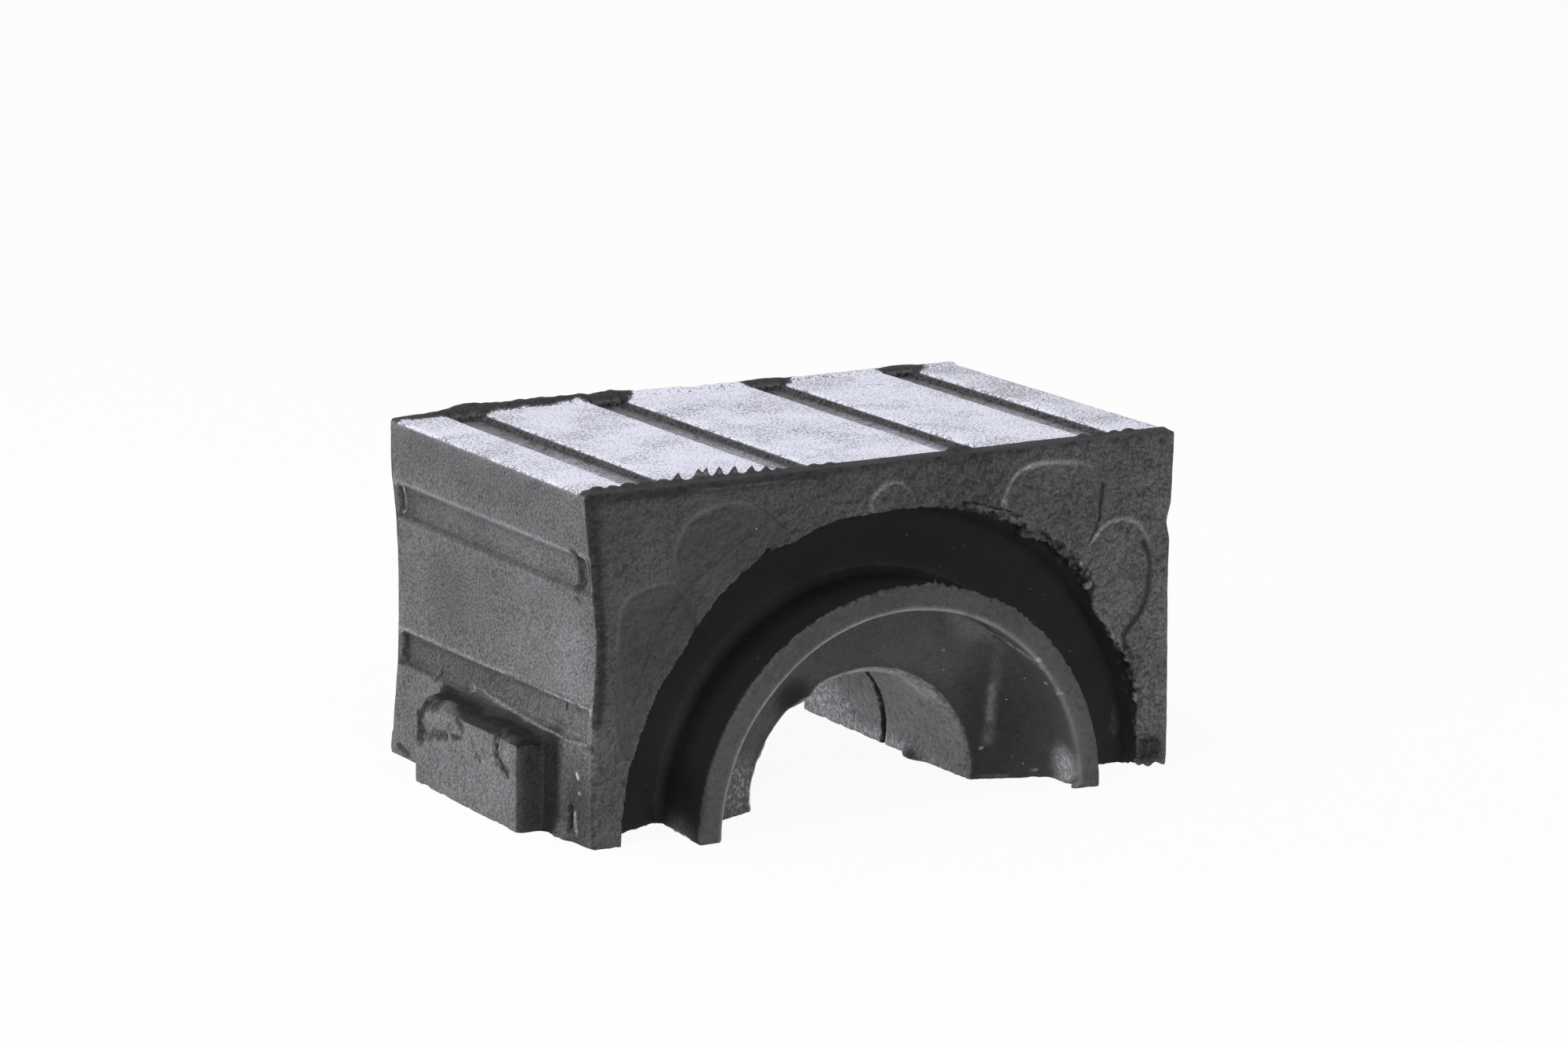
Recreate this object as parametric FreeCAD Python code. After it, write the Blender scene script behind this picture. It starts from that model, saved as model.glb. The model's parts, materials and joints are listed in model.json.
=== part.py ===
"""Upper half of a split anti-roll bar bushing, moulded from rubber in one piece.

Millimetres. X runs across the bar, Y along it and Z up. The origin is on the axis of the bar, in
the parting plane, half way along the block. The half rests on its parting face.
"""
import FreeCAD, Part
import math
import os

Vector = FreeCAD.Vector

# Block
BLOCK_WIDTH = 64.4
BLOCK_DEPTH = 41.5
BLOCK_HEIGHT = 33.5
BLOCK_EDGE_RADIUS = 0.5

# Seat of the bar, with the line that the mould leaves half way along it
BAR_RADIUS = 12.0
MOULD_LINE_WIDTH = 0.9
MOULD_LINE_DEPTH = 0.5

# Half-round recess in each end face, deepest at the foot of the collar
RECESS_RADIUS = 28.5
RECESS_RIM_DEPTH = 2.8
RECESS_ROOT_DEPTH = 6.1

# Thin collar that stands out of each recess round the bar
COLLAR_RADIUS = 22.2
COLLAR_WALL = 2.5
COLLAR_REACH = 3.2
COLLAR_ROOT_TAPER = 0.7
COLLAR_ROOT_RADIUS = 0.8
COLLAR_EDGE_CHAMFER = 0.3

# Web between the collar and the bar, a shallow funnel
WEB_RIM_DEPTH = 2.1
WEB_BORE_DEPTH = 5.0
WEB_RIM_RADIUS = 1.4

# Grooves across the top, in pairs about the middle
TOP_GROOVE_WIDTH = 4.1
TOP_GROOVE_FLOOR = 2.7
TOP_GROOVE_DEPTH = 0.9
TOP_GROOVE_INNER_PLACE = 9.15
TOP_GROOVE_OUTER_PLACE = 24.8
TOP_GROOVE_END_WALL = 2.0

# Grooves along each side
SIDE_GROOVE_WIDTH = 3.4
SIDE_GROOVE_FLOOR = 2.6
SIDE_GROOVE_DEPTH = 0.7
SIDE_GROOVE_LOWER_HEIGHT = 11.1
SIDE_GROOVE_UPPER_HEIGHT = 25.7
SIDE_GROOVE_END_WALL = 1.2

# Low ridge of rubber along both ends of the top: its crest and its inner foot, from the end face
LIP_HEIGHT = 0.25
LIP_CREST_PLACE = 1.5
LIP_FOOT_PLACE = 2.0

# Locating lug at the foot of each side
LUG_REACH = 2.8
LUG_LENGTH = 22.2
LUG_HEIGHT = 8.9
LUG_OFFSET = -1.1
LUG_CORNER_RADIUS = 0.6
LUG_ROOT_RADIUS = 1.2
LUG_TOP_CHAMFER = 0.5

# How far a piece that grows out of another reaches into it
OVERLAP = 0.8
# How far a cutter stands past the surface that it opens
CUTTER_MARGIN = 1.0

HALF_WIDTH = BLOCK_WIDTH / 2
HALF_DEPTH = BLOCK_DEPTH / 2


def rounded_wire(corners):
    """Closed wire through corners (point, radius), each with a tangent arc of its own radius."""
    stretches = []
    for index, (point, radius) in enumerate(corners):
        before = corners[index - 1][0]
        after = corners[(index + 1) % len(corners)][0]
        if radius == 0:
            stretches.append((point, None, point))
            continue
        towards_before = (before - point).normalize()
        towards_after = (after - point).normalize()
        half_angle = towards_before.getAngle(towards_after) / 2
        cutback = radius / math.tan(half_angle)
        bisector = (towards_before + towards_after).normalize()
        centre = point + bisector * (radius / math.sin(half_angle))
        start = point + towards_before * cutback
        end = point + towards_after * cutback
        stretches.append((start, centre - bisector * radius, end))
    edges = []
    for index, (start, middle, end) in enumerate(stretches):
        if middle is not None:
            edges.append(Part.Arc(start, middle, end).toShape())
        following = stretches[(index + 1) % len(stretches)][0]
        edges.append(Part.LineSegment(end, following).toShape())
    return Part.Wire(edges)


def block():
    """Plain block with its upright edges and its two long top edges rounded."""
    corner = Vector(-HALF_WIDTH, -HALF_DEPTH, 0)
    solid = Part.makeBox(BLOCK_WIDTH, BLOCK_DEPTH, BLOCK_HEIGHT, corner)
    rounded = []
    for edge in solid.Edges:
        box = edge.BoundBox
        upright = box.ZLength > BLOCK_HEIGHT / 2
        long_top = box.YLength > BLOCK_DEPTH / 2 and box.ZMin > BLOCK_HEIGHT / 2
        if upright or long_top:
            rounded.append(edge)
    return solid.makeFillet(BLOCK_EDGE_RADIUS, rounded)


def groove_cutter(width, floor, depth, end_wall):
    """Bar of trapezoid section along Y, with its open side at z = 0 and its floor below."""
    slope = (width - floor) / 2 / depth
    top = width / 2 + slope * CUTTER_MARGIN
    start = -HALF_DEPTH + end_wall
    section = Part.makePolygon([
        Vector(-top, start, CUTTER_MARGIN),
        Vector(-floor / 2, start, -depth),
        Vector(floor / 2, start, -depth),
        Vector(top, start, CUTTER_MARGIN),
        Vector(-top, start, CUTTER_MARGIN),
    ])
    return Part.Face(section).extrude(Vector(0, BLOCK_DEPTH - 2 * end_wall, 0))


def top_grooves():
    """The four grooves in the top face, which part its five lands."""
    cutters = []
    for place in (TOP_GROOVE_INNER_PLACE, TOP_GROOVE_OUTER_PLACE):
        for side in (-1, 1):
            cutter = groove_cutter(
                TOP_GROOVE_WIDTH, TOP_GROOVE_FLOOR, TOP_GROOVE_DEPTH, TOP_GROOVE_END_WALL)
            cutter.translate(Vector(side * place, 0, BLOCK_HEIGHT))
            cutters.append(cutter)
    return cutters


def side_grooves():
    """The two grooves in each side face."""
    cutters = []
    for height in (SIDE_GROOVE_LOWER_HEIGHT, SIDE_GROOVE_UPPER_HEIGHT):
        for side in (-1, 1):
            cutter = groove_cutter(
                SIDE_GROOVE_WIDTH, SIDE_GROOVE_FLOOR, SIDE_GROOVE_DEPTH, SIDE_GROOVE_END_WALL)
            cutter.rotate(Vector(0, 0, 0), Vector(0, 1, 0), side * 90)
            cutter.translate(Vector(side * HALF_WIDTH, 0, height))
            cutters.append(cutter)
    return cutters


def lips():
    """The low ridge along each end of the top, past which the grooves there don't run."""
    half_length = HALF_WIDTH - BLOCK_EDGE_RADIUS
    ridges = []
    for side in (-1, 1):
        face_y = side * HALF_DEPTH
        crest_y = face_y - side * LIP_CREST_PLACE
        foot_y = face_y - side * LIP_FOOT_PLACE
        section = Part.makePolygon([
            Vector(-half_length, face_y, BLOCK_HEIGHT - OVERLAP),
            Vector(-half_length, face_y, BLOCK_HEIGHT),
            Vector(-half_length, crest_y, BLOCK_HEIGHT + LIP_HEIGHT),
            Vector(-half_length, foot_y, BLOCK_HEIGHT),
            Vector(-half_length, foot_y, BLOCK_HEIGHT - OVERLAP),
            Vector(-half_length, face_y, BLOCK_HEIGHT - OVERLAP),
        ])
        ridges.append(Part.Face(section).extrude(Vector(2 * half_length, 0, 0)))
    return ridges


def lug(side):
    """Lug on one side: its plan outline raised from the parting plane, with its top edge broken."""
    wall = HALF_WIDTH
    tip = wall + LUG_REACH
    inside = wall - OVERLAP
    near = LUG_OFFSET - LUG_LENGTH / 2
    far = LUG_OFFSET + LUG_LENGTH / 2
    foot = LUG_ROOT_RADIUS + OVERLAP
    plan = rounded_wire([
        (Vector(inside, near - foot, 0), 0),
        (Vector(wall, near - foot, 0), 0),
        (Vector(wall, near, 0), LUG_ROOT_RADIUS),
        (Vector(tip, near, 0), LUG_CORNER_RADIUS),
        (Vector(tip, far, 0), LUG_CORNER_RADIUS),
        (Vector(wall, far, 0), LUG_ROOT_RADIUS),
        (Vector(wall, far + foot, 0), 0),
        (Vector(inside, far + foot, 0), 0),
    ])
    solid = Part.Face(plan).extrude(Vector(0, 0, LUG_HEIGHT))
    crown = []
    for edge in solid.Edges:
        box = edge.BoundBox
        if box.ZMin > LUG_HEIGHT / 2 and box.XMax > tip - LUG_CORNER_RADIUS / 2:
            crown.append(edge)
    solid = solid.makeChamfer(LUG_TOP_CHAMFER, crown)
    if side < 0:
        solid = solid.mirror(Vector(0, 0, 0), Vector(1, 0, 0))
    return solid


def ring():
    """Half-round middle: recess floors, collars, webs and bar seat as one revolved section."""
    collar_inside = COLLAR_RADIUS - COLLAR_WALL
    collar_root = COLLAR_RADIUS - COLLAR_ROOT_TAPER
    collar_end = HALF_DEPTH + COLLAR_REACH
    front_half = [
        (BAR_RADIUS, HALF_DEPTH - WEB_BORE_DEPTH, 0),
        (collar_inside, HALF_DEPTH - WEB_RIM_DEPTH, WEB_RIM_RADIUS),
        (collar_inside, collar_end - COLLAR_EDGE_CHAMFER, 0),
        (collar_inside + COLLAR_EDGE_CHAMFER, collar_end, 0),
        (COLLAR_RADIUS - COLLAR_EDGE_CHAMFER, collar_end, 0),
        (COLLAR_RADIUS, collar_end - COLLAR_EDGE_CHAMFER, 0),
        (collar_root, HALF_DEPTH - RECESS_ROOT_DEPTH, COLLAR_ROOT_RADIUS),
        (RECESS_RADIUS, HALF_DEPTH - RECESS_RIM_DEPTH, 0),
        (RECESS_RADIUS + OVERLAP, HALF_DEPTH - RECESS_RIM_DEPTH, 0),
    ]
    mould_line = (BAR_RADIUS + MOULD_LINE_DEPTH, 0, 0)
    section = [(BAR_RADIUS, MOULD_LINE_WIDTH / 2, 0)]
    section += front_half
    section += [(radius, -y, rounding) for radius, y, rounding in reversed(front_half)]
    section += [(BAR_RADIUS, -MOULD_LINE_WIDTH / 2, 0), mould_line]
    wire = rounded_wire([(Vector(radius, y, 0), rounding) for radius, y, rounding in section])
    return Part.Face(wire).revolve(Vector(0, 0, 0), Vector(0, -1, 0), 180)


def arch():
    """Tunnel of the recess radius, right through the block."""
    length = BLOCK_DEPTH + 2 * CUTTER_MARGIN
    start = Vector(0, -length / 2, 0)
    return Part.makeCylinder(RECESS_RADIUS, length, start, Vector(0, 1, 0))


def bushing_half():
    """The whole moulding as one solid."""
    body = block().multiFuse(lips())
    body = body.cut(top_grooves() + side_grooves())
    body = body.cut(arch())
    body = body.multiFuse([ring(), lug(-1), lug(1)])
    return body.removeSplitter()


def main():
    os.makedirs("parts", exist_ok=True)
    shape = bushing_half()
    solid = shape.Solids[0]
    box = solid.BoundBox
    print("solids", len(shape.Solids), "valid", solid.isValid(), "volume", round(solid.Volume, 1))
    print("size", round(box.XLength, 2), round(box.YLength, 2), round(box.ZLength, 2))
    solid.exportStep("parts/bushing_half.step")


main()
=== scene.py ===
"""Looks of one half of a split anti-roll bar bushing: one rubber moulding with its flash and wear.

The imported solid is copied, its flash is grown on it, and the whole is skinned again at a finer
size. The skin is then weathered and painted by what part of the moulding it belongs to.
Lengths in the classes are millimetres on the moulding's own axes: X across the bar, Y along it
and Z up, with the origin on the bar's axis in the parting plane. Meshes are in metres.
"""

import json
import logging
import math
from dataclasses import dataclass, field
from enum import Enum, auto
from functools import cached_property

import bmesh
import bpy
import numpy as np
from mathutils import Euler, Matrix, Vector, noise


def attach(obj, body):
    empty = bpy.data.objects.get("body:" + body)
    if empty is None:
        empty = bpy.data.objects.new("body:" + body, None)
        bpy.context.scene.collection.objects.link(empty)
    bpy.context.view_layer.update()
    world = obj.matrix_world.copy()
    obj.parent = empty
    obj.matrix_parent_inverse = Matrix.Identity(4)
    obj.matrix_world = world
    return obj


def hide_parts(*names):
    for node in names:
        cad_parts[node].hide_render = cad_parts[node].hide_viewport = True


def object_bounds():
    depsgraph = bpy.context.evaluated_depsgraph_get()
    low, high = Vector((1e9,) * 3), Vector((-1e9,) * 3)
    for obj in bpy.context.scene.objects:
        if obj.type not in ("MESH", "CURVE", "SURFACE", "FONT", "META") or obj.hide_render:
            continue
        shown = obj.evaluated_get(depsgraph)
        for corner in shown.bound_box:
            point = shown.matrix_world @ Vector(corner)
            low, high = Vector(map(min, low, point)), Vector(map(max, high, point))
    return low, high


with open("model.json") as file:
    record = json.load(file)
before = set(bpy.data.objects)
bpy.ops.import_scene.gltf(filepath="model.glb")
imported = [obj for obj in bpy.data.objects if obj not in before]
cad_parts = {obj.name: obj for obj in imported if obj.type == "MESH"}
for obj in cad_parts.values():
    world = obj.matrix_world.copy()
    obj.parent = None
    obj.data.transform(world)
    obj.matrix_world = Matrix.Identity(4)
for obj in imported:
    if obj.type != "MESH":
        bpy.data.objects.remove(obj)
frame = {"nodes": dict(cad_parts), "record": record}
CAD_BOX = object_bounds()

MM = 0.001
NODE = "bushing_half"
BODY = "root"

TINY = 1e-6
SEED_STRIDE = 7.31
CORNER_CUTS = 3
CORNER_SHARE = 0.25
LEFTWARD = (-1.0, 0.0, 0.0)
FORWARD = (0.0, -1.0, 0.0)
EVERYWHERE = slice(None)

Array = np.ndarray
Pair = tuple[float, float]
Triple = tuple[float, float, float]
Colour = tuple[float, float, float, float]
Curve = tuple[Pair, ...]
Socket = bpy.types.NodeSocket
Source = bpy.types.NodeSocket | float | tuple

log = logging.getLogger("bushing")


def step(values: Array, low: float | Array, high: float | Array) -> Array:
    """Smooth rise from 0 to 1 as values go from low to high, or fall where low lies above high."""
    share = np.clip((values - low) / (high - low), 0.0, 1.0)
    return share * share * (3.0 - 2.0 * share)


def bell(values: Array, centre: float, reach: float) -> Array:
    """Round hump, 1 at the centre and 0 from reach outwards."""
    return step(np.abs(values - centre), reach, 0.0)


def curve(values: Array, pairs: Curve) -> Array:
    """Line of straight runs through pairs of place and height, read at values."""
    return np.interp(values, *zip(*pairs))


def rough(points: Array, *waves: Triple, base: float | Array = 0.0) -> Array:
    """Smooth noise over points.

    Args:
        points: Places in millimetres, one row each.
        *waves: Height of each noise, size of its cells in millimetres, and its seed.
        base: What the noises are added to.

    Returns:
        One value for each point.
    """
    total = base
    for height, cell, seed in waves:
        scaled = (points / cell + seed * SEED_STRIDE).tolist()
        total = total + height * np.array([noise.noise(Vector(place)) for place in scaled])
    return total


def path_distance(points: Array, path: Array) -> Array:
    """Distance in a plane from points to a line of straight runs.

    Args:
        points: Places in the plane, one row each.
        path: Corners of the line, in order.

    Returns:
        One distance for each point.
    """
    nearest = np.full(len(points), np.inf)
    for start, end in zip(path[:-1], path[1:]):
        run = end - start
        along = np.clip((points - start) @ run / (run @ run), 0.0, 1.0)
        gap = np.linalg.norm(points - start - along[:, None] * run, axis=1)
        nearest = np.minimum(nearest, gap)
    return nearest


def inside(points: Array, outline: Array) -> Array:
    """Tells which points of a plane a closed outline holds, by counting crossings.

    Args:
        points: Places in the plane, one row each.
        outline: Corners of the outline, in order.

    Returns:
        True for each point that lies inside.
    """
    within = np.zeros(len(points), dtype=bool)
    for start, end in zip(outline, np.roll(outline, -1, axis=0)):
        spans = (start[1] > points[:, 1]) != (end[1] > points[:, 1])
        slope = (end[0] - start[0]) / (end[1] - start[1] + TINY * TINY)
        within ^= spans & (points[:, 0] < start[0] + slope * (points[:, 1] - start[1]))
    return within


def rounded(line: Curve, closed: bool = True) -> Array:
    """Cuts a line's corners a few times, which turns few points into a smooth curve.

    Args:
        line: Corners of the line, in order.
        closed: Whether its end joins its start.

    Returns:
        The points of the curve, one row each.
    """
    points = np.array(line)
    for _ in range(CORNER_CUTS):
        following = np.roll(points, -1, axis=0)
        near = points * (1.0 - CORNER_SHARE) + following * CORNER_SHARE
        far = points * CORNER_SHARE + following * (1.0 - CORNER_SHARE)
        cut = np.stack([near, far], axis=1).reshape(-1, 2)
        points = cut if closed else np.vstack([points[:1], cut[:-2], points[-1:]])
    return points


@dataclass(frozen=True)
class Block:
    """Sizes of the moulding that its looks are placed by."""

    half_width: float
    half_depth: float
    height: float
    bar_radius: float
    lug_reach: float = 2.8
    lug_height: float = 8.9
    recess_radius: float = 28.5
    collar_radius: float = 22.2
    collar_inside: float = 19.7
    collar_reach: float = 3.2
    lip_height: float = 0.25
    lip_crest: float = 1.5
    land_end: float = 2.0
    groove_depth: float = 0.9
    groove_width: float = 4.1
    groove_places: tuple[float, ...] = (-24.8, -9.15, 9.15, 24.8)

    @classmethod
    def from_frame(cls) -> "Block":
        """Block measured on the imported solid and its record.

        Returns:
            The sizes, with the overall ones worked out from the solid's box.
        """
        high = CAD_BOX[1] / MM
        seat = next(m for m in frame["record"]["mounts"] if m["name"] == "bar_seat")
        return cls(
            half_width=high.x - cls.lug_reach,
            half_depth=high.y - cls.collar_reach,
            height=high.z - cls.lip_height,
            bar_radius=seat["dims"]["r_mm"],
        )


class Zone(Enum):
    """Parts of the moulding that differ in skin, named for where they lie."""

    SIDE = auto()
    BAND = auto()
    LUG_FLANK = auto()
    LUG_TOP = auto()
    END = auto()
    LIP = auto()
    LAND = auto()
    GROOVE = auto()
    GROOVE_WALL = auto()
    RECESS = auto()
    COLLAR_WALL = auto()
    COLLAR_EDGE = auto()
    COLLAR_INSIDE = auto()
    WEB = auto()
    SEAT = auto()
    PARTING = auto()


@dataclass(frozen=True)
class Skin:
    """How the rubber looks in one zone.

    tone is the grey level from 0 to 255, which in some zones carries painted light and shade. fleck
    and pit say how much the fine grain lightens and darkens it, bloom how much pale powder
    and painted sheen lie on it, and dust how many specks do. grain and peel are the heights of the
    fine and the coarse relief in fiftieths of a millimetre.
    """

    tone: float
    fleck: float
    pit: float
    grain: float
    peel: float
    gloss: float = 0.1
    bloom: float = 0.0
    dust: float = 0.3


# Some zone tones stand for light and shade: the front end is painted darker than the sides, the recess
# floor, the collar's outer wall, the lug's flank and top and the groove walls carry painted shade, and the
# seat carries painted light.
SKINS = {
    Zone.SIDE: Skin(tone=108, fleck=0.42, pit=0.15, grain=7.0, peel=2.0, gloss=0.2),
    Zone.BAND: Skin(tone=107, fleck=0.42, pit=0.15, grain=7.0, peel=2.0, gloss=0.2),
    Zone.LUG_FLANK: Skin(tone=60, fleck=0.26, pit=0.2, grain=3.0, peel=3.0),
    Zone.LUG_TOP: Skin(tone=46, fleck=0.3, pit=0.3, grain=3.0, peel=4.0),
    Zone.END: Skin(tone=88, fleck=0.27, pit=0.2, grain=6.0, peel=80.0, gloss=0.3, dust=0.8),
    Zone.LIP: Skin(tone=52, fleck=0.25, pit=0.25, grain=2.0, peel=5.0, gloss=0.15),
    Zone.LAND: Skin(tone=112, fleck=0.3, pit=0.2, grain=3.0, peel=1.0, bloom=1.0),
    Zone.GROOVE: Skin(tone=96, fleck=0.9, pit=0.8, grain=3.0, peel=2.0, bloom=0.5),
    Zone.GROOVE_WALL: Skin(tone=76, fleck=0.7, pit=0.5, grain=4.0, peel=3.0),
    Zone.RECESS: Skin(tone=46, fleck=0.08, pit=0.05, grain=0.4, peel=0.4, dust=0.5),
    Zone.COLLAR_WALL: Skin(tone=27, fleck=0.08, pit=0.05, grain=0.4, peel=0.4, gloss=0.06, dust=0.5),
    Zone.COLLAR_EDGE: Skin(tone=84, fleck=0.14, pit=0.15, grain=1.5, peel=6.0, gloss=0.35, dust=0.4),
    Zone.COLLAR_INSIDE: Skin(tone=90, fleck=0.1, pit=0.1, grain=1.0, peel=0.6, gloss=0.4, dust=0.6),
    Zone.WEB: Skin(tone=84, fleck=0.17, pit=0.1, grain=1.5, peel=4.0, gloss=0.35, dust=1.0),
    Zone.SEAT: Skin(tone=172, fleck=0.24, pit=0.3, grain=2.5, peel=9.0, gloss=0.3, dust=1.0),
    Zone.PARTING: Skin(tone=96, fleck=0.3, pit=0.3, grain=3.0, peel=3.0, gloss=0.2, dust=0.5),
}


class Face(Enum):
    """Faces that carry marks, with the two axes that a mark is drawn on."""

    FRONT = "x and z on the front face"
    LEFT = "y and z on the left face"
    LUG = "y and z on the left lug"
    WEB = "x and z on the front web"
    COLLAR = "x and z on the front edge of the collar"
    COLLAR_INSIDE = "length round the inside of the front collar from its right foot, and y"


@dataclass(frozen=True)
class Mark:
    """Scratch, crease, streak, scuff or line of painted shade along a line on one face.

    path is drawn in the face's own axes. width is the half width. lift is how far the rubber
    stands out there, and tone the grey level that it turns to, as far as strength says. A soft
    mark fades over its whole width, and a ragged one comes and goes.
    """

    path: Curve
    width: float
    lift: float
    tone: float
    strength: float
    ragged: float = 0.0
    soft: float = 0.3


@dataclass(frozen=True)
class FlowMark:
    """Slight step where the rubber met itself as the mould filled, round a raised patch.

    height is how far the patch stands out, smooth how far its grain is lost, and rim how
    many grey levels of painted highlight its edge gains at the upper left and of painted shade it
    loses at the lower right.
    """

    outline: Curve
    height: float
    rim: float
    smooth: float = 0.0

    def measure(self, flat: Array) -> tuple[Array, Array, Array]:
        """Measures points of the front face against the mark.

        Args:
            flat: Their x and z, one row each.

        Returns:
            The smooth outline, each point's distance from it, and whether it holds the point.
        """
        outline = rounded(self.outline)
        gap = path_distance(flat, np.vstack([outline, outline[:1]]))
        return outline, gap, inside(flat, outline)


@dataclass(frozen=True)
class Spot:
    """Place on the skin that something happens round, with its reach along each axis."""

    centre: Triple
    reach: Triple

    def near(self, points: Array, full: float) -> Array:
        """Nearness of points: 1 within this share of the reach, and 0 past the reach."""
        gap = np.linalg.norm((points - np.array(self.centre)) / np.array(self.reach), axis=1)
        return step(gap, 1.0, full)


@dataclass(frozen=True)
class Push(Spot):
    """Local shift of the skin, such as a bulge, a nub or a chipped corner."""

    shift: Triple
    ragged: float


@dataclass(frozen=True)
class StainAndShade(Spot):
    """Soft cloud on skin that faces this way: lighter or darker rubber, and in places painted shade.

    gain is how much lighter it is, as a share of the tone, and froth how much pale froth lies on
    it.
    """

    facing: Triple
    gain: float
    froth: float = 0.0


@dataclass(frozen=True)
class RaggedRing:
    """Torn or flashed edge round the bar's axis.

    The edge is a half circle of this radius at this distance from the middle. swing is how far
    it wanders, cell how quickly, and bias how far it leans outwards as a whole. first and last
    are the angles that it covers, from the right-hand foot.
    """

    radius: float
    place: float
    reach: float
    swing: float
    cell: float
    bias: float
    first: float
    last: float
    seed: float


FLOW_MARKS = (
    FlowMark(((-23.4, 25.4), (-23.1, 28.2), (-21.8, 30.3), (-18.6, 31.5), (-14.8, 31.2),
              (-12.4, 29.2), (-10.4, 26.4), (-14.0, 22.0), (-20.0, 18.0)), 0.14, 11.0, smooth=0.45),
    FlowMark(((-29.2, 8.0), (-29.2, 21.4), (-28.2, 23.9), (-25.2, 24.6), (-22.4, 24.6),
              (-20.0, 18.0), (-25.0, 8.0)), 0.14, 9.0, smooth=0.5),
    FlowMark(((-2.6, 28.6), (-1.5, 31.1), (0.4, 31.7), (2.1, 31.0), (3.4, 28.2), (0.5, 25.0)),
             0.22, 24.0),
    FlowMark(((12.3, 27.6), (13.2, 30.6), (15.4, 31.9), (19.3, 31.8), (22.9, 31.2), (23.9, 28.4),
              (23.4, 24.8), (19.0, 19.0), (14.0, 23.0)), 0.22, 28.0),
    FlowMark(((23.4, 24.9), (26.2, 25.7), (28.6, 24.6), (29.8, 21.6), (29.5, 18.0), (28.4, 15.4),
              (26.4, 13.9), (26.6, 12.0), (27.6, 9.0), (24.0, 8.0), (19.0, 19.0)), 0.22, 26.0),
)

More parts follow.
